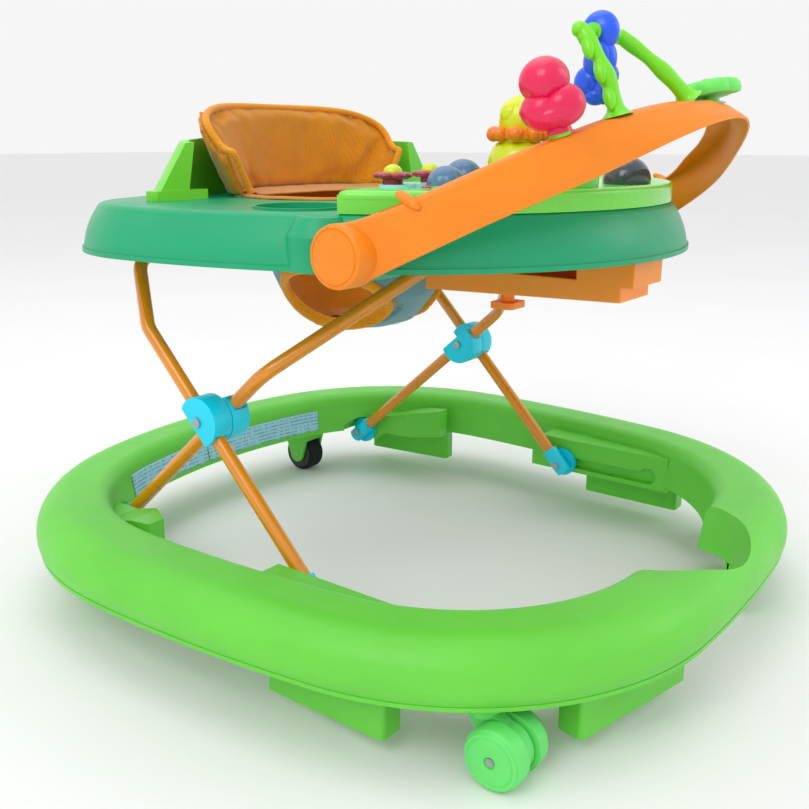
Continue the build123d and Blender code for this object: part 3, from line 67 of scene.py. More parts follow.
class Shader:
    """Short calls for building one node material."""

    def __init__(self, name):
        self.mat = bpy.data.materials.new(name)
        self.mat.use_nodes = True
        self.tree = self.mat.node_tree
        self.bsdf = self.tree.nodes["Principled BSDF"]
        self.coord = self.add("ShaderNodeTexCoord").outputs["Object"]

    def add(self, kind, **settings):
        node = self.tree.nodes.new(kind)
        for key, value in settings.items():
            setattr(node, key, value)
        return node

    def link(self, a, b):
        self.tree.links.new(a, b)

    def noise(self, scale, detail=3.0, roughness=0.5, stretch=(1, 1, 1), shift=0.0):
        place = self.add("ShaderNodeMapping")
        place.inputs["Scale"].default_value = stretch
        place.inputs["Location"].default_value = (shift, shift, shift)
        self.link(self.coord, place.inputs["Vector"])
        tex = self.add("ShaderNodeTexNoise")
        tex.inputs["Scale"].default_value = scale
        tex.inputs["Detail"].default_value = detail
        tex.inputs["Roughness"].default_value = roughness
        self.link(place.outputs["Vector"], tex.inputs["Vector"])
        return tex.outputs["Fac"]

    def ramp(self, value, low, high, out_low, out_high):
        node = self.add("ShaderNodeMapRange")
        for key, v in (("From Min", low), ("From Max", high), ("To Min", out_low), ("To Max", out_high)):
            node.inputs[key].default_value = v
        self.link(value, node.inputs["Value"])
        return node.outputs["Result"]

    def math(self, op, a, b=None):
        node = self.add("ShaderNodeMath", operation=op)
        for socket, v in zip(node.inputs, (a, b)):
            if isinstance(v, (int, float)):
                socket.default_value = v
            elif v is not None:
                self.link(v, socket)
        return node.outputs[0]

    def mix(self, factor, a, b):
        node = self.add("ShaderNodeMix", data_type="RGBA")
        self.link(factor, node.inputs[0])
        for socket, v in ((node.inputs[6], a), (node.inputs[7], b)):
            if isinstance(v, tuple):
                socket.default_value = v
            else:
                self.link(v, socket)
        return node.outputs[2]

    def bump(self, height, distance, strength=1.0, after=None):
        node = self.add("ShaderNodeBump")
        node.inputs["Distance"].default_value = distance
        node.inputs["Strength"].default_value = strength
        self.link(height, node.inputs["Height"])
        if after is not None:
            self.link(after, node.inputs["Normal"])
        return node.outputs["Normal"]

    def set(self, **values):
        for key, v in values.items():
            socket = self.bsdf.inputs[key.replace("_", " ")]
            if isinstance(v, (int, float, tuple)):
                socket.default_value = v
            else:
                self.link(v, socket)
        return self.mat


def shade(rgb, gain):
    return tuple(min(1.0, c * gain) for c in rgb[:3]) + (1.0,)


def plastic(name, rgb, rough=0.38, grain=0.00006, soft=0.04, coat=0.0):
    """Moulded plastic: faint flow marks, fine spark texture, scuffs, uneven gloss."""
    s = Shader(name)
    base = linear(*rgb)
    flow = s.noise(9, 4, 0.6, stretch=(1, 1, 2.2))
    colour = s.mix(s.ramp(flow, 0.3, 0.7, 0, 1), shade(base, 0.94), shade(base, 1.05))
    dust = s.noise(60, 5, 0.7, shift=3.0)
    colour = s.mix(s.ramp(dust, 0.62, 0.8, 0, 0.10), colour, shade(base, 0.8))
    gloss = s.ramp(s.noise(24, 5, 0.65, shift=1.3), 0.3, 0.7, rough - 0.06, rough + 0.08)
    fine = s.noise(1500, 2, 0.5)
    wave = s.noise(30, 2, 0.5, shift=2.0)
    normal = s.bump(fine, grain, 0.7)
    normal = s.bump(wave, 0.0004, 0.25, after=normal)
    return s.set(
        Base_Color=colour, Roughness=gloss, Normal=normal, Specular_IOR_Level=0.5,
        Coat_Weight=coat, Coat_Roughness=0.12, Subsurface_Weight=soft,
        Subsurface_Radius=(0.004, 0.004, 0.003), Subsurface_Scale=0.5,
    )


def metal(name, rgb, rough=0.3):
    """Turned steel with fine scratches."""
    s = Shader(name)
    base = linear(*rgb)
    streak = s.noise(700, 3, 0.6, stretch=(0.2, 1, 1))
    colour = s.mix(streak, shade(base, 0.8), shade(base, 1.1))
    gloss = s.ramp(s.noise(90, 4), 0.3, 0.7, rough - 0.08, rough + 0.15)
    return s.set(
        Base_Color=colour, Metallic=1.0, Roughness=gloss,
        Normal=s.bump(streak, 0.00004, 0.5),
    )


def painted(name, rgb):
    """Powder-coated tube: clear gloss over slight orange peel, darker chips here and there."""
    s = Shader(name)
    base = linear(*rgb)
    peel = s.noise(420, 2, 0.5)
    chips = s.ramp(s.noise(140, 6, 0.75, shift=5.0), 0.72, 0.78, 0, 0.35)
    tint = s.mix(s.ramp(s.noise(14, 3), 0.35, 0.65, 0, 1), shade(base, 0.93), shade(base, 1.04))
    colour = s.mix(chips, tint, shade(base, 0.55))
    gloss = s.ramp(s.noise(50, 4), 0.3, 0.7, 0.2, 0.32)
    return s.set(
        Base_Color=colour, Roughness=gloss, Normal=s.bump(peel, 0.0001, 0.4),
        Coat_Weight=0.6, Coat_Roughness=0.06,
    )


def rubber(name, rgb):
    s = Shader(name)
    base = linear(*rgb)
    scuff = s.noise(120, 5, 0.7)
    colour = s.mix(s.ramp(scuff, 0.5, 0.75, 0, 0.5), base, shade(base, 2.0))
    gloss = s.ramp(scuff, 0.3, 0.7, 0.62, 0.85)
    return s.set(
        Base_Color=colour, Roughness=gloss,
        Normal=s.bump(s.noise(900, 3), 0.00012, 0.6), Specular_IOR_Level=0.3,
    )


def fabric(name, rgb, folds=0.0012, weave=0.0009):
    """Woven cloth: two crossed thread directions, painted shade in the hollows between the threads, soft
    folds, sheen.
    """
    s = Shader(name)
    base = linear(*rgb)
    threads = []
    for axes in ((1, 1, 0), (0.35, 0.35, 1.4)):
        place = s.add("ShaderNodeMapping")
        place.inputs["Scale"].default_value = axes
        s.link(s.coord, place.inputs["Vector"])
        wave = s.add("ShaderNodeTexWave", wave_type="BANDS", bands_direction="DIAGONAL")
        wave.inputs["Scale"].default_value = 0.5 / weave / pi
        wave.inputs["Distortion"].default_value = 0.6
        s.link(place.outputs["Vector"], wave.inputs["Vector"])
        threads.append(wave.outputs["Fac"])
    cloth = s.math("MULTIPLY", threads[0], threads[1])
    cloudy = s.noise(22, 5, 0.6)
    colour = s.mix(s.ramp(cloudy, 0.3, 0.7, 0, 1), shade(base, 0.84), shade(base, 1.08))
    # painted shade: where the thread height is low, in the weave's hollows, the colour is pulled towards 0.62
    # of the base
    colour = s.mix(s.ramp(cloth, 0.0, 0.5, 0.35, 0), colour, shade(base, 0.62))
    fuzz = s.noise(2400, 2)
    normal = s.bump(cloth, 0.00022, 0.5)
    normal = s.bump(fuzz, 0.00008, 0.35, after=normal)
    wrinkle = s.noise(34, 4, 0.55, stretch=(1, 1, 0.35), shift=7.0)
    normal = s.bump(wrinkle, folds * 2, 0.55, after=normal)
    return s.set(
        Base_Color=colour, Roughness=0.86, Normal=normal, Specular_IOR_Level=0.25,
        Sheen_Weight=0.35, Sheen_Roughness=0.5,
    )


def printed_label(name):
    """Pale blue film with rows of grey dashes that spell nothing."""
    s = Shader(name)
    base = linear(165, 214, 232)
    wave = s.add("ShaderNodeTexWave", wave_type="BANDS", bands_direction="Z")
    wave.inputs["Scale"].default_value = 72.0
    wave.inputs["Distortion"].default_value = 0.0
    s.link(s.coord, wave.inputs["Vector"])
    rows = s.ramp(wave.outputs["Fac"], 0.62, 0.72, 0, 1)
    dashes = s.ramp(s.noise(420, 1, 0.5, stretch=(1, 1, 0.05)), 0.44, 0.5, 0, 1)
    ink = s.math("MULTIPLY", s.math("MULTIPLY", rows, dashes), 0.55)
    colour = s.mix(ink, base, linear(70, 96, 120))
    return s.set(
        Base_Color=colour, Roughness=s.ramp(s.noise(60), 0.3, 0.7, 0.3, 0.42),
        Normal=s.bump(s.noise(70, 2), 0.0002, 0.3),
    )


MAT = {
    "ring_plastic": plastic("lime_ring", (114, 206, 84), 0.42, soft=0.06),
    "tray_plastic": plastic("teal_tray", (0, 160, 112), 0.36),
    "arch_plastic": plastic("orange_arch", (240, 140, 40), 0.44),
    "tube_paint": painted("orange_tube", (228, 146, 8)),
    "clamp_plastic": plastic("cyan_clamp", (0, 214, 246), 0.36),
    "fastener_steel": metal("plain_steel", (178, 180, 184)),
    "caster_plastic": plastic("green_caster", (116, 222, 122), 0.42),
    "tyre_rubber": rubber("black_tyre", (30, 31, 34)),
    "wheel_core": plastic("dark_core", (48, 52, 56), 0.5),
    "rail_plastic": plastic("orange_rail", (248, 150, 30), 0.36),
    "support_plastic": plastic("lime_support", (128, 216, 78), 0.34, coat=0.15),
    "play_plastic": plastic("green_play", (128, 224, 92), 0.26, coat=0.35),
    "red_plastic": plastic("red_toy_gloss", (222, 40, 88), 0.28, coat=0.3),
    "yellow_plastic": plastic("yellow_gloss", (216, 226, 8), 0.25, coat=0.35),
    "collar_plastic": plastic("collar_gloss", (245, 132, 40), 0.28, coat=0.3),
    "blue_plastic": plastic("blue_gloss", (0, 92, 240), 0.28, coat=0.3),
    "loop_plastic": plastic("loop_gloss", (128, 222, 22), 0.3, coat=0.25),
    "leaf_plastic": plastic("leaf_gloss", (120, 224, 112), 0.36),
    "maroon_plastic": plastic("maroon_gloss", (160, 32, 58), 0.26, coat=0.35),
    "cloud_plastic": plastic("cloud_gloss", (176, 234, 248), 0.26, coat=0.3),
    "grey_plastic": plastic("blue_grey_gloss", (84, 122, 160), 0.24, coat=0.35),
    "dark_plastic": plastic("dark_gloss", (58, 68, 80), 0.14, coat=0.6),
    "seat_fabric": fabric("orange_cloth", (214, 142, 6)),
    "bag_fabric": fabric("grey_cloth", (120, 160, 172)),
}
INNER_CLOTH = fabric("inner_orange_cloth", (206, 134, 4))
PIPING = fabric("piping_cloth", (240, 160, 24), folds=0.0004)
LABEL = printed_label("plain_label")

SLOT_OF = {entry["node"]: entry["material_slot"] for entry in frame["record"]["subparts"]}


def round_edges(obj, width, angle=35.0):
    """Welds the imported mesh's seams and eases its edges."""
    weld = obj.modifiers.new("weld", "WELD")
    weld.merge_threshold = 0.00001
    bevel = obj.modifiers.new("ease", "BEVEL")
    bevel.width = width
    bevel.segments = 2
    bevel.limit_method = "ANGLE"
    bevel.angle_limit = radians(angle)


for node_name, obj in NODES.items():
    slot_name = SLOT_OF[node_name]
    obj.data.materials.clear()
    obj.data.materials.append(MAT[slot_name])


# ------------------------------------------------------------------ mesh helpers
def mm(*values):
    """Millimetres as metres."""
    return tuple(v / 1000 for v in values)


def mm_pairs(*pairs):
    """Radius and height pairs of a turned profile, in millimetres, as metres."""
    return [mm(*pair) for pair in pairs]


def make(name, verts, faces, slot_name, body, replaces=(), material=None, angle=40.0):
    """New piece from vertices in metres, in place, riding on a body."""
    mesh = bpy.data.meshes.new(name)
    mesh.from_pydata([tuple(v) for v in verts], [], [tuple(f) for f in faces])
    mesh.validate()
    bm = bmesh.new()
    bm.from_mesh(mesh)
    bmesh.ops.recalc_face_normals(bm, faces=bm.faces)
    bm.to_mesh(mesh)
    bm.free()
    obj = bpy.data.objects.new(name, mesh)
    bpy.context.scene.collection.objects.link(obj)
    mesh.materials.append(material or MAT[slot_name])
    mesh.shade_smooth()
    if angle < 180:
        mesh.set_sharp_from_angle(angle=radians(angle))
    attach(obj, body)
    if replaces:
        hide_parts(*replaces)
    return obj


def grid_faces(rows, cols, close_rows=False, close_cols=False):
    faces = []
    for i in range(rows if close_rows else rows - 1):
        for j in range(cols if close_cols else cols - 1):
            a = i * cols + j
            b = i * cols + (j + 1) % cols
            c = ((i + 1) % rows) * cols + (j + 1) % cols
            d = ((i + 1) % rows) * cols + j
            faces.append((a, b, c, d))
    return faces


def lathe(profile, centre, axis="z", steps=64):
    """Vertices and faces of a profile (radius, height) turned about an axis through centre."""
    verts, faces = [], []
    for r, h in profile:
        for k in range(steps):
            t = 2 * pi * k / steps
            a, b = r * cos(t), r * sin(t)
            if axis == "z":
                verts.append((centre[0] + a, centre[1] + b, centre[2] + h))
            else:
                verts.append((centre[0] + h, centre[1] + a, centre[2] + b))
    faces = grid_faces(len(profile), steps, close_cols=True)
    faces.append(tuple(range(steps)))
    faces.append(tuple((len(profile) - 1) * steps + k for k in range(steps)))
    return verts, faces


def catmull(points, count):
    """Smooth curve through points, evenly spread by index."""
    pts = [np.array(p, float) for p in points]
    pts = [2 * pts[0] - pts[1]] + pts + [2 * pts[-1] - pts[-2]]
    out = []
    for i in range(count):
        t = i / (count - 1) * (len(points) - 1)
        k = min(int(t), len(points) - 2)
        f = t - k
        p0, p1, p2, p3 = pts[k:k + 4]
        out.append(0.5 * (2 * p1 + (p2 - p0) * f + (2 * p0 - 5 * p1 + 4 * p2 - p3) * f**2
                          + (3 * p1 - p0 - 3 * p2 + p3) * f**3))
    return out


def tube(points, radii, count, ring):
    """Vertices and faces of a closed tube with a changing radius along a smooth line."""
    line = catmull(points, count)
    radii = [float(r[0]) for r in catmull([(r,) for r in radii], len(line))]
    verts = []
    up = np.array((0.0, 0.0, 1.0))
    tangents = [line[min(i + 1, len(line) - 1)] - line[max(i - 1, 0)] for i in range(len(line))]
    first = tangents[0] / np.linalg.norm(tangents[0])
    side = np.cross(first, up)
    if np.linalg.norm(side) < 0.2:
        side = np.cross(first, np.array((1.0, 0.0, 0.0)))
    for p, t, r in zip(line, tangents, radii):
        t = t / np.linalg.norm(t)
        side = side - t * (side @ t)
        side /= np.linalg.norm(side)
        other = np.cross(t, side)
        for k in range(ring):
            a = 2 * pi * k / ring
            verts.append(p + r * (cos(a) * side + sin(a) * other))
    faces = grid_faces(len(line), ring, close_cols=True)
    faces.append(tuple(range(ring)))
    faces.append(tuple((len(line) - 1) * ring + k for k in range(ring)))
    return verts, faces


def joined(*parts):
    verts, faces = [], []
    for v, f in parts:
        start = len(verts)
        verts += list(v)
        faces += [tuple(i + start for i in face) for face in f]
    return verts, faces


def ellipsoid(centre, radii, steps=40, turn=0.0, bumps=None, tilt=(0, 0)):
    """Vertices and faces of an ellipsoid; bumps is (count, depth, twist) of lobes round it."""
    verts = []
    rows = steps // 2 + 1
    for i in range(rows):
        v = pi * i / (rows - 1)
        for k in range(steps):
            u = 2 * pi * k / steps + turn
            gain = 1.0
            if bumps:
                count, depth, twist = bumps
                gain = 1 - depth * (1 - abs(cos(count * (u + twist * v) / 2))) * sin(v)
            p = Vector((radii[0] * gain * sin(v) * cos(u), radii[1] * gain * sin(v) * sin(u),
                        radii[2] * cos(v)))
            p = Matrix.Rotation(tilt[0], 3, "X") @ (Matrix.Rotation(tilt[1], 3, "Y") @ p)
            verts.append((centre[0] + p.x, centre[1] + p.y, centre[2] + p.z))
    return verts, grid_faces(rows, steps, close_cols=True)




# ------------------------------------------------------------------ camera, floor and light
camera_data = bpy.data.cameras.new("camera")
camera = bpy.data.objects.new("camera", camera_data)
bpy.context.scene.collection.objects.link(camera)
bpy.context.scene.camera = camera
camera_data.sensor_width = 36
camera_data.lens = 42.34
camera_data.shift_x = 0.0155
camera_data.shift_y = -0.0059
camera_data.clip_start = 0.01
heading, rise = radians(-52.79), radians(15.25)
back = Vector((sin(heading) * cos(rise), -cos(heading) * cos(rise), sin(rise)))
camera.location = (-0.77374, -0.56248, 0.44088)
camera.rotation_mode = "QUATERNION"
camera.rotation_quaternion = (-back).to_track_quat("-Z", "Y")

floor_mesh = bpy.data.meshes.new("floor")
floor_mesh.from_pydata([(-30, -30, 0), (30, -30, 0), (30, 30, 0), (-30, 30, 0)], [], [(0, 1, 2, 3)])
floor = bpy.data.objects.new("floor", floor_mesh)
bpy.context.scene.collection.objects.link(floor)
floor_paint = Shader("pale_floor")
floor_paint.set(
    Base_Color=floor_paint.mix(floor_paint.noise(3, 2), (0.86, 0.86, 0.86, 1), (0.9, 0.9, 0.9, 1)),
    Roughness=0.85, Specular_IOR_Level=0.1,
)
floor_mesh.materials.append(floor_paint.mat)

bpy.context.scene.view_settings.view_transform = "Standard"
world = bpy.data.worlds.new("world")
bpy.context.scene.world = world
world.use_nodes = True
world.node_tree.nodes["Background"].inputs["Color"].default_value = (1, 1, 1, 1)
world.node_tree.nodes["Background"].inputs["Strength"].default_value = 0.92


def area_light(name, place, aim, size, power, tint=(1, 1, 1)):
    data = bpy.data.lights.new(name, "AREA")
    data.shape = "RECTANGLE"
    data.size, data.size_y = size
    data.energy = power
    data.color = tint
    lamp = bpy.data.objects.new(name, data)
    bpy.context.scene.collection.objects.link(lamp)
    lamp.location = place
    lamp.rotation_mode = "QUATERNION"
    lamp.rotation_quaternion = (Vector(aim) - Vector(place)).to_track_quat("-Z", "Y")


area_light("key", (-2.2, -0.3, 2.2), (0, 0, 0.2), (1.6, 1.2), 20, (1.0, 0.99, 0.97))
area_light("top", (0.2, 0.6, 2.8), (0, 0, 0.2), (2.2, 2.2), 13)
area_light("rim", (1.8, -2.2, 1.6), (0, -0.1, 0.2), (1.2, 1.2), 7, (0.93, 0.97, 1.0))


# ------------------------------------------------------------------ toy arch
HUB = (-0.122, 0.361)                           # y, z of the arch's pivot


def arch_top(x):
    share = min(1.0, abs(x) / 245)
    reach = 192 * (1 - share**2.05) ** (1 / 2.05)
    return -100 - reach, 374 + 0.37 * reach + 0.0007 * reach**2


def arch_station(x):
    y, z = arch_top(x)
    step = -0.5 if x > 0 else 0.5
    along = (step, arch_top(x + step)[0] - y)
    if step < 0:
        along = (-along[0], -along[1])
    length = hypot(*along)
    inward = (-along[1] / length, along[0] / length)
    share = abs(x) / 245
    drop = 13 + 24 * sin(min(1.0, share / 0.65) * 1.5708) ** 2 + 8 * share**6
    flare = 22 * cos(min(1.0, share / 0.6) * 1.5708) ** 2
    top_width = 3.2 + (26.8 - 14 * share) * min(1.0, (0.9634 - share) / 0.12)
    return (x, y, z), inward, drop, flare, top_width


def arch_stations():
    """Corner, inward, drop, flare and width from hub to hub, as rows of numbers."""
    rows = [(-258.5, -122, 384, 1, 0, 46, 0, 20), (-249, -135, 388, 1, 0, 46, 0, 11)]
    for x in (236, 222, 200, 170, 135, 100, 72, 47, 23, 0, -23, -47, -72, -100, -135, -170, -200,
              -222, -236):
        corner, inward, drop, flare, width = arch_station(-x)
        rows.append((*corner, *inward, drop, flare, width))
    rows.append((249, -135, 388, -1, 0, 46, 0, 11))
    rows.append((258.5, -122, 384, -1, 0, 46, 0, 20))
    return rows


def arch_outline(drop, flare, width):
    """Closed section (in, up) of the band: rounded top edge, thin wall, curled lower lip."""
    wall = 3.0
    pts = [(-flare, -drop), (-flare * 0.93 - 0.5, -drop * 0.85), (-flare * 0.66 - 0.9, -drop * 0.6),
           (-flare * 0.36 - 0.9, -drop * 0.35), (-flare * 0.12 - 0.4, -drop * 0.14),
           (0.0, -2.6), (0.9, -0.9), (2.8, -0.05)]
    edge = max(width, 4.2)
    pts += [(edge * 0.5, 0.25), (edge * 0.62, 0.2), (edge * 0.66, -0.9), (edge * 0.94, -1.3),
            (edge, -1.9), (edge * 0.98, -wall - 0.4)]
    pts += [(wall + 1.2, -wall - 0.6), (wall - flare * 0.12, -drop * 0.2 - 2.0),
            (wall - flare * 0.36, -drop * 0.38), (wall - flare * 0.66, -drop * 0.62),
            (wall - flare * 0.93, -drop * 0.86), (wall - 0.6 - flare, -drop + 0.1),
            (1.4 - flare, -drop - 0.5)]
    return pts


stations = catmull(arch_stations(), 181)
verts = []
for row in stations:
    x, y, z, in_x, in_y, drop, flare, width = row
    size = hypot(in_x, in_y)
    for across, up in arch_outline(drop, flare, width):
        verts.append(mm(x + in_x / size * across, y + in_y / size * across, z + up))
count = len(arch_outline(40, 0, 20))
faces = grid_faces(len(stations), count, close_cols=True)
faces.append(tuple(range(count)))
faces.append(tuple((len(stations) - 1) * count + k for k in range(count)))
band = (verts, faces)

hubs = []
for side in SIDES.values():
    profile = [(9.2, 238), (21.5, 238), (23.2, 239), (23.5, 241), (23.5, 259), (23.0, 260.8), (21.6, 261.9),
               (20.6, 262.1), (20.2, 261.5), (19.7, 261.5), (19.3, 262.2), (10, 262.9), (0.5, 263.1)]
    hub = lathe([(r / 1000, side * h / 1000) for r, h in profile], (0, *HUB), axis="x", steps=96)
    hubs.append(hub)
knobs = []
for side in SIDES.values():
    knobs.append(ellipsoid(mm(side * 229, -163, 400.5), mm(4.5, 12, 4.0), 32, tilt=(radians(28), 0)))
make("arch_band", *joined(band, *hubs, *knobs), "arch_plastic", "arch",
     replaces=("toy_arch", "arch_hub_caps"), angle=32)

# plain plate under the leaf toy
plate_at = arch_station(30)
(px, py, pz), (ix, iy), *_ = plate_at
centre = (px + ix * 14, py + iy * 14, pz)
plate = lathe(mm_pairs((21, 0.2), (21, 1.0), (20, 1.5), (12, 1.7), (0.5, 1.8)),
              mm(*centre), steps=56)
plate = ([(v[0], v[1] + (v[1] - centre[1] / 1000) * -0.38, v[2]) for v in plate[0]], plate[1])
make("arch_plate", *plate, "cloud_plastic", "arch")


def on_arch(x, inset):
    (cx, cy, cz), (ux, uy), *_ = arch_station(x)
    return cx + ux * inset, cy + uy * inset, cz


# ------------------------------------------------------------------ toys on the arch
def leaning(part, spot, axis, angle):
    """The part's points turned about a horizontal axis through spot (mm)."""
    turn = Matrix.Rotation(radians(angle), 3, Vector(axis))
    about = Vector(spot) / 1000
    return [about + turn @ (Vector(v) - about) for v in part[0]], part[1]


RED = on_arch(-160, 9)
foot = lathe(mm_pairs((9, 2.6), (8.8, 4), (7.4, 8), (6.2, 12), (5.8, 16), (5.6, 20)),
             mm(*RED), steps=48)
lobes = []
for k in range(3):
    turn = radians(120 * k + 20)
    lobes.append(ellipsoid(mm(RED[0] + 7.5 * cos(turn), RED[1] + 7.5 * sin(turn), RED[2] + 20.5),
                           mm(16.5, 16.5, 14.5), 48, bumps=(5, 0.05, 0.4), turn=turn))
skirt = ellipsoid(mm(RED[0], RED[1], RED[2] + 17), mm(21.5, 21.5, 10.5), 60, bumps=(6, 0.06, 0))
crown = ellipsoid(mm(RED[0] - 1.5, RED[1] + 2, RED[2] + 39), mm(17.5, 17.5, 16), 60, bumps=(4, 0.05, 0.7))
ear = ellipsoid(mm(RED[0] - 8, RED[1] + 13, RED[2] + 22), mm(8, 9, 6.5), 32)
red = leaning(joined(foot, skirt, crown, ear, *lobes), RED, (-0.551, -0.834, 0), 17.6)
make("red_lobed_toy", *red, "red_plastic", "red_spinner", replaces=("red_toy",), angle=60)

# loop with a leaf-bulged left leg and flared feet
left_foot, right_foot = on_arch(-115, 10), on_arch(-25, 10)


def leg(start, end, bow):
    pts = []
    for t in (0, 0.08, 0.25, 0.45, 0.65, 0.85, 1.0):
        p = [a + (b - a) * t for a, b in zip(start, end)]
        p[1] += bow * sin(pi * t)
        pts.append(mm(*p))
    return pts


bar_a, bar_b = (-120, -233, 517), (-52, -233, 517)
near = tube(leg(left_foot, (bar_a[0] + 1, bar_a[1], bar_a[2] + 1), -5),
            [r / 1000 for r in (11.5, 6.6, 5.2, 6.4, 4.8, 6.2, 5.2)], 90, 28)
far = tube(leg(right_foot, (bar_b[0] - 1, bar_b[1], bar_b[2] + 1), -4),
           [r / 1000 for r in (11, 6.8, 5.6, 6.2, 4.8, 5.6, 5.2)], 90, 28)
bar = tube([mm(bar_a[0] - 1, *bar_a[1:]), mm(*bar_a), mm(-86, -233, 517), mm(*bar_b),
            mm(bar_b[0] + 1, *bar_b[1:])], [r / 1000 for r in (4.2, 4.4, 4.4, 4.4, 4.2)], 30, 24)
caps = [ellipsoid(mm(*p), mm(5.6, 5.6, 5.6), 28) for p in (bar_a, bar_b)]
leaves = []
for t, out in ((0.22, 5), (0.52, 4.5), (0.8, 3.5)):
    p = [a + (b - a) * t for a, b in zip(left_foot, bar_a)]
    leaves.append(ellipsoid(mm(p[0] - out, p[1] - 4 * sin(pi * t), p[2]), mm(4.2, 4.6, 10), 28,
                            tilt=(radians(-22), radians(14))))
cuffs = [lathe(mm_pairs((4.5, -11.8), (6.4, -11.8), (6.4, -14), (4.5, -14)),
               mm(-86, -233, 517), axis="x", steps=32),
         lathe(mm_pairs((4.5, 11.8), (6.8, 11.8), (6.8, 15), (4.5, 15)),
               mm(-86, -233, 517), axis="x", steps=32)]
make("loop_body", *joined(near, far, bar, *caps, *leaves, *cuffs), "loop_plastic", "arch",
     replaces=("toy_loop",), angle=60)

# blue toy: a lobed figure hanging on the bar
BX, BY, BZ = -86, -233, 517
shapes = [
    ellipsoid(mm(BX, BY, BZ + 1), mm(10.8, 14.5, 15), 48),
    ellipsoid(mm(BX, BY - 1, BZ - 20), mm(10.5, 13, 17), 48, bumps=(3, 0.06, 0)),
    ellipsoid(mm(BX, BY + 7, BZ - 34), mm(9, 12, 12), 40),
    ellipsoid(mm(BX, BY - 8, BZ - 30), mm(8, 8, 9), 36),
    ellipsoid(mm(BX, BY - 6, BZ - 40), mm(8.5, 9, 10.5), 36),
    ellipsoid(mm(BX, BY + 1, BZ - 44), mm(8, 9, 7), 36),
    ellipsoid(mm(BX + 7, BY - 3, BZ - 18), mm(5, 8, 13), 36),
    ellipsoid(mm(BX - 7, BY - 3, BZ - 18), mm(5, 8, 13), 36),
]
make("blue_lobed_toy", *joined(*shapes), "blue_plastic", "blue_swinger", replaces=("blue_toy",), angle=60)

# leaf toy: scalloped puffed disc with veins, open below
LX, LY, LZ = on_arch(30, 14)
rings = []
for r_share, z in ((0.25, 2.0), (0.8, 1.0), (0.97, 1.5), (1.0, 4.0), (0.985, 8.0), (0.9, 11.5), (0.72, 13.2),
                   (0.45, 13.8), (0.15, 13.2), (0.02, 13.0)):
    for k in range(120):
        u = 2 * pi * k / 120
        edge = 22.0 + 4.6 * abs(cos(2.5 * u)) ** 0.7
        vein = 0.7 * max(0.0, 1 - abs(sin(2.5 * u)) * 7) * (0.3 < r_share < 0.95)
        rings.append(mm(LX + edge * r_share * cos(u), LY + edge * r_share * sin(u), LZ + 3.4 + z - vein))
leaf_ends = [tuple(range(120)), tuple(9 * 120 + k for k in range(120))]
leaf = (rings, grid_faces(10, 120, close_cols=True) + leaf_ends)
leaf = leaning(leaf, (LX, LY, LZ), (-1, 0, 0), 12.0)
make("leaf_puffed_toy", *leaf, "leaf_plastic", "leaf_spinner", replaces=("leaf_toy",), angle=60)

# ------------------------------------------------------------------ play tray toys
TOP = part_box("play_tray")[1].z * 1000
YX, YY = -50, -148
body = lathe(mm_pairs(
    (24, 0), (24.5, 3), (26.5, 10), (27, 18), (26, 26), (23, 33), (19.5, 37), (17.9, 37.2),
    (17.9, 51), (18.2, 52), (18, 58), (16, 65), (12, 70.5), (7, 73.8), (2, 75.2), (0.4, 75.3),
), mm(YX, YY, TOP), steps=72)
petals = []
for k in range(5):
    u = radians(72 * k + 15)
    petals.append(ellipsoid(mm(YX + 10 * cos(u), YY + 10 * sin(u), TOP + 60), mm(9.5, 9.5, 11), 32))
make("yellow_toy_body", *joined(body, *petals), "yellow_plastic", "tray", replaces=("yellow_dome",), angle=50)

collar = lathe(mm_pairs((18.2, -3.5), (22, -3.8), (23, 0), (22, 3.8), (18.2, 3.5)),
               mm(YX, YY, TOP + 44), steps=72)
beads = []
for k in range(9):
    u = 2 * pi * k / 9
    beads.append(ellipsoid(mm(YX + 22.2 * cos(u), YY + 22.2 * sin(u), TOP + 44), mm(6.2, 6.2, 6.4), 32))
make("bead_ring", *joined(collar, *beads), "collar_plastic", "collar", replaces=("bead_collar",), angle=60)

grey = joined(
    ellipsoid(mm(-116, -118, TOP + 3.5), mm(16, 16, 15.8), 56, bumps=(6, 0.07, 0)),
    ellipsoid(mm(-72, -106, TOP + 6.5), mm(17.3, 17.3, 17.3), 56, bumps=(6, 0.07, 0)),
)
kept = [v if v[2] > (TOP + 3.5) / 1000 else (v[0], v[1], (TOP + 3.5) / 1000) for v in grey[0]]
link = lathe(mm_pairs((9, -8), (9, 4), (8, 6), (2, 7)), mm(-94, -112, TOP), steps=40)
make("grey_lobed_button", *joined((kept, grey[1]), link), "grey_plastic", "grey_button",
     replaces=("grey_dome",), angle=50)

for name, side in SIDES.items():
    low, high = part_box(f"flower_button_{name}")
    cx, cy = (low.x + high.x) * 500, (low.y + high.y) * 500
    zb = TOP + 6.5
    petals = []
    for k in range(6):
        u = radians(60 * k)
        petals.append(ellipsoid(mm(cx + 9.6 * cos(u), cy + 9.6 * sin(u), zb + 3.5), mm(7, 7, 3.2), 28))
    stem = lathe(mm_pairs((8.8, -14), (8.8, 2.2), (10, 2.8), (10, 5), (8, 6)),
                 mm(cx, cy, zb), steps=40)
    make(f"flower_petals_{name}", *joined(stem, *petals), "maroon_plastic", f"flower_{name}",
         replaces=(f"flower_button_{name}",), angle=60)
    centre = ellipsoid(mm(cx, cy, zb + 6.2), mm(8.2, 8.2, 6.8), 48, bumps=(8, 0.06, 0))
    make(f"flower_centre_{name}", *centre, "yellow_plastic", f"flower_{name}", angle=60)

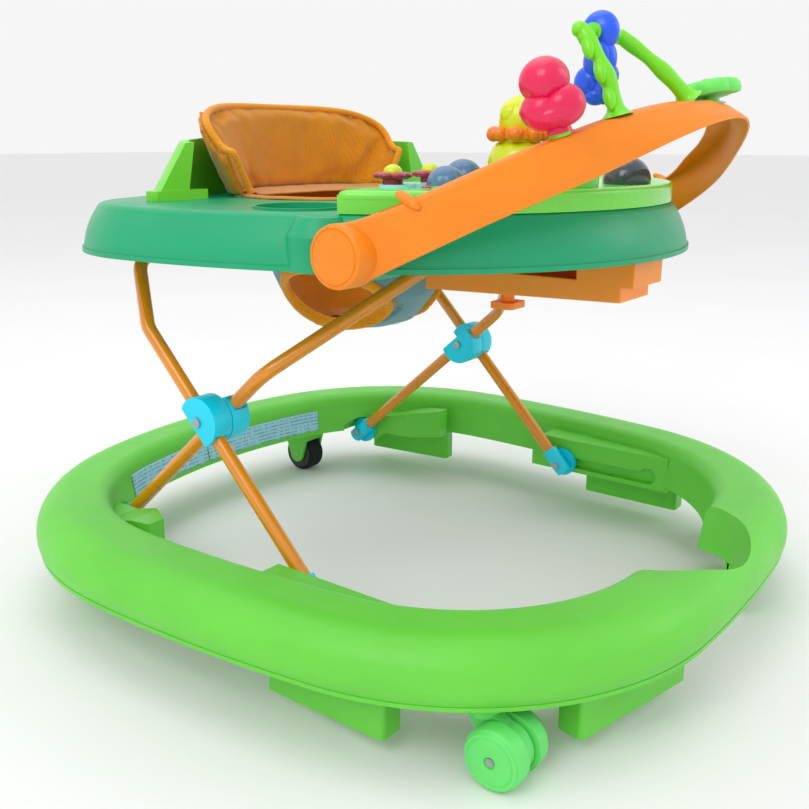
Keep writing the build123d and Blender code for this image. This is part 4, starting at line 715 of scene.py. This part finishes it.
DX, DY = 75, -190
slopes = [radians(97 - 3.2 * i) for i in range(30)]
dome = lathe([mm(22 * sin(a), 3 + 22 * cos(a)) for a in slopes], mm(DX, DY, TOP), steps=64)
make("dark_clear_dome", *dome, "dark_plastic", "tray", replaces=("dark_dome",), angle=60)
knob = ellipsoid(mm(DX - 8, DY + 2, TOP + 20), mm(9, 9, 5), 40)
make("dome_top_button", *knob, "maroon_plastic", "tray", angle=60)

# small plain half-round on the panel
half_round = ellipsoid(mm(-95, -84, TOP + 0.4), mm(5.5, 3.8, 1.2), 32)
make("panel_half_round", *half_round, "red_plastic", "tray", angle=60)

# ------------------------------------------------------------------ seat back
BACK_Y = 120.0                                  # middle of the seat back's curve
PIPING_R = 0.0034
FOOT_Z = 0.3895                                 # lower edge of the seat back


def back_point(turn, height, depth):
    """Point of the seat back: turn round it, height 0 to 1, depth 0 inside to 1 outside."""
    rise = 1 - abs(cos(turn)) ** 5
    top = 441 + 33 * rise ** 0.75
    if abs(cos(turn)) > 0.96:
        top -= 320 * (abs(cos(turn)) - 0.96)
    z = 391.5 + (top - 391.5) * height
    share = (z - 390.5) / 85
    pad = 1.2 + depth * 9.0
    a = 104 + 48 * share + pad
    b = 50 + 8 * share + pad
    return Vector((a * cos(turn), BACK_Y + b * sin(turn), z)) / 1000


def fold_depth(turn, height):
    """Gathers of the seat back, in metres: long uneven folds that fan out from its foot."""
    fan = turn * 180 / pi
    wander = 8 * noise.noise(Vector((fan / 20, height * 1.4, 4.0)))
    wave = abs(sin(radians((fan + wander) * 7.4)))
    deep = 0.4 + 1.3 * noise.noise(Vector((fan / 14, height * 0.7, 9.0)))
    edge = min(1.0, height / 0.12) * min(1.0, (1 - height) / 0.3)
    return -0.0026 * (1 - wave) ** 2.6 * max(0.05, deep) * edge


def inflate(obj, voxel, cap, pressure=4.0, steps=20):
    """Remeshes a closed form and lets cloth under pressure swell it, no point farther than cap."""
    scene = bpy.context.scene
    mod = obj.modifiers.new("remesh", "REMESH")
    mod.mode = "VOXEL"
    mod.voxel_size = voxel
    mod.use_smooth_shade = True
    bpy.context.view_layer.update()
    graph = bpy.context.evaluated_depsgraph_get()
    mesh = bpy.data.meshes.new_from_object(obj.evaluated_get(graph))
    obj.modifiers.clear()
    materials = list(obj.data.materials)
    obj.data = mesh
    mesh.materials.clear()
    for mat in materials:
        mesh.materials.append(mat)
    rest = np.empty(len(mesh.vertices) * 3)
    mesh.vertices.foreach_get("co", rest)
    rest = rest.reshape(-1, 3)
    cloth = obj.modifiers.new("cloth", "CLOTH")
    cloth.settings.quality = 5
    cloth.settings.mass = 0.3
    cloth.settings.use_pressure = True
    cloth.settings.uniform_pressure_force = pressure
    cloth.settings.effector_weights.gravity = 0
    cloth.collision_settings.use_collision = False
    cloth.point_cache.frame_start = 1
    cloth.point_cache.frame_end = steps
    for step in range(1, steps + 1):
        scene.frame_set(step)
    swollen = np.empty(len(mesh.vertices) * 3)
    obj.evaluated_get(bpy.context.evaluated_depsgraph_get()).data.vertices.foreach_get("co", swollen)
    swollen = swollen.reshape(-1, 3)
    obj.modifiers.clear()
    scene.frame_set(1)
    move = np.nan_to_num(swollen - rest)
    size = np.linalg.norm(move, axis=1, keepdims=True)
    move *= np.minimum(1.0, cap / np.maximum(size, 1e-9))
    new = rest + move
    mesh.vertices.foreach_set("co", new.reshape(-1))
    mesh.update()
    return new


def smooth_once(obj):
    sub = obj.modifiers.new("smooth", "SUBSURF")
    sub.levels = 1
    sub.render_levels = 1
    obj.data.shade_smooth()


rows, cols = 15, 121
turns = [radians(-7 + 194 * k / (cols - 1)) for k in range(cols)]
verts = []
for layer in (0.0, 1.0):
    for i in range(rows):
        for turn in turns:
            verts.append(back_point(turn, i / (rows - 1), layer))
inner = grid_faces(rows, cols)
outer = [tuple(v + rows * cols for v in reversed(f)) for f in inner]
rim = []
border = [j for j in range(cols)] + [i * cols + cols - 1 for i in range(1, rows)]
border += [(rows - 1) * cols + j for j in range(cols - 2, -1, -1)]
border += [i * cols for i in range(rows - 2, 0, -1)]
for a, b in zip(border, border[1:] + border[:1]):
    rim.append((a, b, b + rows * cols, a + rows * cols))
seat_back = make("seat_back_pad", verts, inner + outer + rim, "seat_fabric", "tray",
                 replaces=("seat_back",), angle=180)
points = inflate(seat_back, 0.005, 0.005)
mesh = seat_back.data

# the sewn edges stay at their own heights while the filling swells between them
share = (points[:, 2] - 0.3905) / 0.085
around = np.arctan2((points[:, 1] - BACK_Y / 1000) / (50 + 8 * share), points[:, 0] / (104 + 48 * share))
around = np.where(around < -pi / 2, around + 2 * pi, around)
stops = np.radians(np.linspace(-6, 186, 33))
near = [np.abs(around - stop) < radians(5) for stop in stops]
highest = np.interp(around, stops, [points[n, 2].max() for n in near])
lowest = np.interp(around, stops, [points[n, 2].min() for n in near])
top_edge = np.interp(around, stops, [back_point(stop, 1.0, 0.5).z for stop in stops])
points[:, 2] = FOOT_Z + (points[:, 2] - lowest) / (highest - lowest) * (top_edge - FOOT_Z)
mesh.vertices.foreach_set("co", points.reshape(-1))
mesh.update()
normals = [Vector(v.normal) for v in mesh.vertices]
for vertex, normal in zip(mesh.vertices, normals):
    x, y, z = vertex.co * 1000
    share = (z - 390.5) / 85
    turn = atan2((y - BACK_Y) / (50 + 8 * share), x / (104 + 48 * share))
    height = min(1.0, max(0.0, (z - 391.5) / (441 + 33 * (1 - abs(cos(turn)) ** 5) - 391.5)))
    toward = Vector((x, y - BACK_Y, 0)).normalized()
    if normal.dot(toward) < 0.2:
        vertex.co += normal * fold_depth(turn, height)
    vertex.co += normal * 0.0007 * noise.noise(Vector((x, y, z)) / 11)
smooth_once(seat_back)

edge = []
for i in range(0, 21):
    edge.append(back_point(turns[0], i / 20, 0.42))
for turn in turns[2:-2:2]:
    edge.append(back_point(turn, 1.0, 0.42) + Vector((0, 0, 0.0008)))
for i in range(20, -1, -1):
    edge.append(back_point(turns[-1], i / 20, 0.42))
for _ in range(7):
    edge = [edge[0]] + [(a + 2 * b + c) / 4 for a, b, c in zip(edge, edge[1:], edge[2:])] + [edge[-1]]
make("seat_back_piping", *tube(edge, [PIPING_R] * len(edge), 260, 14), "seat_fabric", "tray",
     material=PIPING, angle=180)

# ------------------------------------------------------------------ seat bag
BAG = ((389.5, 72.0, 121.0, 99.0), (372, 71, 116, 97), (335, 68, 102, 91), (310, 66.5, 93, 86),
       (292, 66, 84, 80), (274, 66, 70, 67), (262, 66, 57, 55), (257.2, 66, 44, 42), (257, 66, 20, 18))
HOLE = (50.0, 293.0, 52.0, 31.0)                # leg hole: y, z, half length, half height


def bag_ring(t):
    """Centre y, half width, half length and height down the bag, t from 0 at the top to 1."""
    k = min(int(t * (len(BAG) - 1)), len(BAG) - 2)
    f = t * (len(BAG) - 1) - k
    return [a + (b - a) * f for a, b in zip(BAG[k], BAG[k + 1])]


def bag_point(turn, t, out=0.0):
    z, y, a, b = bag_ring(t)
    sag = 1.3 * noise.noise(Vector((cos(turn) * 1.8, sin(turn) * 1.8, z / 34)))
    sag += 0.8 * sin(turn * 9 + z / 13) * t
    out = out + sag * min(1.0, t * 5)
    return Vector(((a + out) * cos(turn), y + (b + out) * sin(turn), z)) / 1000


def hole_share(point):
    """Below 1 inside a leg hole."""
    y, z = point.y * 1000, point.z * 1000
    if abs(point.x) < 0.02:
        return 9.0
    return hypot((y - HOLE[0]) / HOLE[2], (z - HOLE[1]) / HOLE[3])


def bag_sheet(name, out, material):
    around, down = 240, 84
    verts, faces = [], []
    for i in range(down):
        for k in range(around):
            verts.append(bag_point(2 * pi * k / around, i / (down - 1), out))
    for face in grid_faces(down, around, close_cols=True):
        middle = sum((verts[v] for v in face), Vector()) / 4
        if hole_share(middle) > 1.0:
            faces.append(face)
    faces.append(tuple((down - 1) * around + k for k in range(around)))
    for index, point in enumerate(verts):
        share = hole_share(point)
        if 0.9 < share < 1.1:
            y = HOLE[0] + (point.y * 1000 - HOLE[0]) / share
            z = HOLE[1] + (point.z * 1000 - HOLE[1]) / share
            verts[index] = Vector((point.x, y / 1000, z / 1000))
    used = sorted({v for face in faces for v in face})
    number = {v: i for i, v in enumerate(used)}
    obj = make(name, [verts[v] for v in used], [tuple(number[v] for v in f) for f in faces],
               "bag_fabric", "tray", material=material, angle=180)
    thick = obj.modifiers.new("cloth", "SOLIDIFY")
    thick.thickness = 0.0011
    thick.offset = 0
    return obj


outer_bag = bag_sheet("seat_bag_outer", 0.0, MAT["bag_fabric"])
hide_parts("seat_bag")
inner_bag = bag_sheet("seat_bag_lining", -2.6, INNER_CLOTH)

# padded cuffs round the leg holes
for name, side in SIDES.items():
    path = []
    for k in range(64):
        a = 2 * pi * k / 64
        y = HOLE[0] + HOLE[2] * cos(a) * 0.985
        z = HOLE[1] + HOLE[3] * sin(a) * 0.985
        t = 0.5
        for step in range(120):
            t = step / 119
            if bag_ring(t)[0] <= z:
                break
        _, cy, half_w, half_l = bag_ring(t)
        reach = max(0.05, 1 - ((y - cy) / (half_l + 0.5)) ** 2)
        path.append(Vector((side * (half_w * reach ** 0.5 - 0.8), y, z)) / 1000)
    for _ in range(4):
        path = [(path[i - 1] + 2 * path[i] + path[(i + 1) % 64]) / 4 for i in range(64)]
    verts = []
    for i in range(192):
        f = i / 192 * 64
        k = int(f)
        p = path[k].lerp(path[(k + 1) % 64], f - k)
        along = (path[(k + 1) % 64] - path[k]).normalized()
        out = Vector((side, 0, 0)) - along * along.x * side
        out.normalize()
        across = along.cross(out)
        gather = 1 + 0.13 * sin(i * 0.9) * noise.noise(Vector((i * 0.11, 2.0, side)))
        for j in range(16):
            u = 2 * pi * j / 16
            verts.append(p + (out * cos(u) * 3.7 + across * sin(u) * 6.2) * gather / 1000)
    cuff = make(f"leg_cuff_{name}", verts, grid_faces(192, 16, close_rows=True, close_cols=True),
                "seat_fabric", "tray", material=PIPING, angle=180)

# orange cloth turned over the opening's edge, flat in front of the seat back
verts = []
for share, z in ((0.90, 387.4), (0.945, 389.9), (0.985, 390.9), (1.02, 390.8), (1.045, 389.6), (1.05, 388.5)):
    for k in range(160):
        a = 2 * pi * k / 160
        lift = 0.5 * noise.noise(Vector((cos(a) * 4, sin(a) * 4, share)))
        verts.append(mm(121 * share * cos(a), 72 + 99 * share * sin(a), z + lift))
brim = make("seat_brim", verts, grid_faces(6, 160, close_cols=True), "seat_fabric", "tray",
            material=INNER_CLOTH, angle=180)
solid = brim.modifiers.new("cloth", "SOLIDIFY")
solid.thickness = 0.001

# sloping cloth panel from the seat back's foot down into the seat
verts = []
for i in range(14):
    f = i / 13
    for k in range(61):
        turn = radians(-6 + 192 * k / 60)
        a = (104 - 10 * f) * cos(turn)
        b = (50 + 6 * f - 62 * f**1.2) * sin(turn)
        z = 393.5 - 3.2 * f + 0.7 * noise.noise(Vector((a / 25, b / 25, 2.0)))
        verts.append(mm(a, BACK_Y + b - 4 * f, z))
panel = make("seat_panel", verts, grid_faces(14, 61), "seat_fabric", "tray", material=INNER_CLOTH, angle=180)
solid = panel.modifiers.new("cloth", "SOLIDIFY")
solid.thickness = 0.0012

# seat cushion at the bottom of the bag
verts, rows = [], 9
for i in range(rows):
    v = pi * i / (rows - 1)
    for k in range(64):
        a = 2 * pi * k / 64
        r = sin(v) ** 0.5
        verts.append(mm(27.5 * r * cos(a), 68 + 37.5 * r * sin(a), 264.3 + 2.4 * cos(v)))
cushion = make("seat_cushion_pad", verts, grid_faces(rows, 64, close_cols=True), "seat_fabric", "tray",
               replaces=("seat_cushion",), material=INNER_CLOTH, angle=180)
inflate(cushion, 0.004, 0.002)
for vertex in cushion.data.vertices:
    if abs(vertex.co.x) < 0.004 and vertex.co.z > 0.2645:
        vertex.co.z -= 0.0012 * (1 - abs(vertex.co.x) / 0.004)
smooth_once(cushion)


# ------------------------------------------------------------------ on the CAD surfaces
def surface_of(node):
    """Search tree of a CAD node's mesh in the row frame."""
    obj = NODES[node]
    world = obj.matrix_world
    mesh = obj.data
    verts = [world @ v.co for v in mesh.vertices]
    return BVHTree.FromPolygons(verts, [tuple(p.vertices) for p in mesh.polygons])


# two plain labels on the ring's inner rear wall
ring_wall = surface_of("base_ring")
middle = Vector((0, 0.0665, 0))
for name, first, last in (("left", 53.0, 97.5), ("right", 98.0, 131.0)):
    rows, cols = 7, 90
    verts = []
    for i in range(rows):
        z = 0.0625 + 0.0255 * i / (rows - 1)
        for k in range(cols):
            a = radians(first + (last - first) * k / (cols - 1))
            ray = Vector((cos(a), sin(a), 0))
            hit = ring_wall.ray_cast(middle + Vector((0, 0, z)), ray)[0]
            verts.append(hit - ray * 0.0006)
    label = make(f"ring_label_{name}", verts, grid_faces(rows, cols), "cloud_plastic", "base",
                 material=LABEL, angle=180)
    film = label.modifiers.new("film", "SOLIDIFY")
    film.thickness = 0.0003

# rounded rim round the play tray's top
play_wall = surface_of("play_tray")
low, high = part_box("play_tray")
centre = Vector((0, -0.155, high.z - 0.002))
line = []
for k in range(220):
    a = radians(162 + 216 * k / 219)
    ray = Vector((cos(a), sin(a), 0))
    hit = play_wall.ray_cast(centre + ray * 0.45, -ray)[0]
    line.append((hit, ray))
verts = []
for inset, z in ((-0.4, -3.0), (-0.5, -1.2), (0.2, 1.1), (2.0, 2.5), (5.0, 3.1), (8.5, 2.6),
                 (12.0, 1.2), (14.5, 0.3), (15.0, -0.4)):
    for hit, ray in line:
        verts.append(Vector((hit.x - ray.x * inset / 1000, hit.y - ray.y * inset / 1000, high.z + z / 1000)))
make("play_rim", verts, grid_faces(9, len(line)), "play_plastic", "tray", angle=180)

# faces of the caster wheels: domed disc, groove and screw
WHEEL_FACE = ((4.6, -0.6), (4.6, 1.0), (5.6, 1.5), (9, 1.9), (14, 1.7), (17.2, 1.0), (17.8, 0.3),
              (18.6, 0.3), (19.2, 0.9), (20.8, 0.6), (21.6, -0.4))
SCREW_FACE = ((0.8, -0.1), (2.2, 0.5), (3.2, 0.4), (3.4, -0.4))
for name in SIDES:
    low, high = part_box(f"caster_wheels_{name}")
    at = ((low.y + high.y) / 2, (low.z + high.z) / 2)
    for tag, x, way in (("out", low.x, -1), ("in", high.x, 1)):
        face = lathe([mm(r, way * h) for r, h in WHEEL_FACE], (x, *at), axis="x", steps=72)
        make(f"wheel_face_{name}_{tag}", *face, "caster_plastic", f"caster_pair_{name}", angle=35)
        screw = lathe([mm(r, way * h) for r, h in SCREW_FACE], (x, *at), axis="x", steps=32)
        make(f"wheel_screw_{name}_{tag}", *screw, "fastener_steel", f"caster_pair_{name}", angle=35)

# eased edges on the moulded and formed CAD parts
eased = ["side_stop_blocks", "front_stop_blocks", "rear_stop_blocks", "height_rail",
         "height_latch", "back_support"]
for part in ("slot_rail", "pivot_boss", "outer_clamp", "inner_clamp", "rear_wheel_housing"):
    eased += [f"{part}_{name}" for name in SIDES]
for node_name in eased:
    round_edges(NODES[node_name], 0.0011)
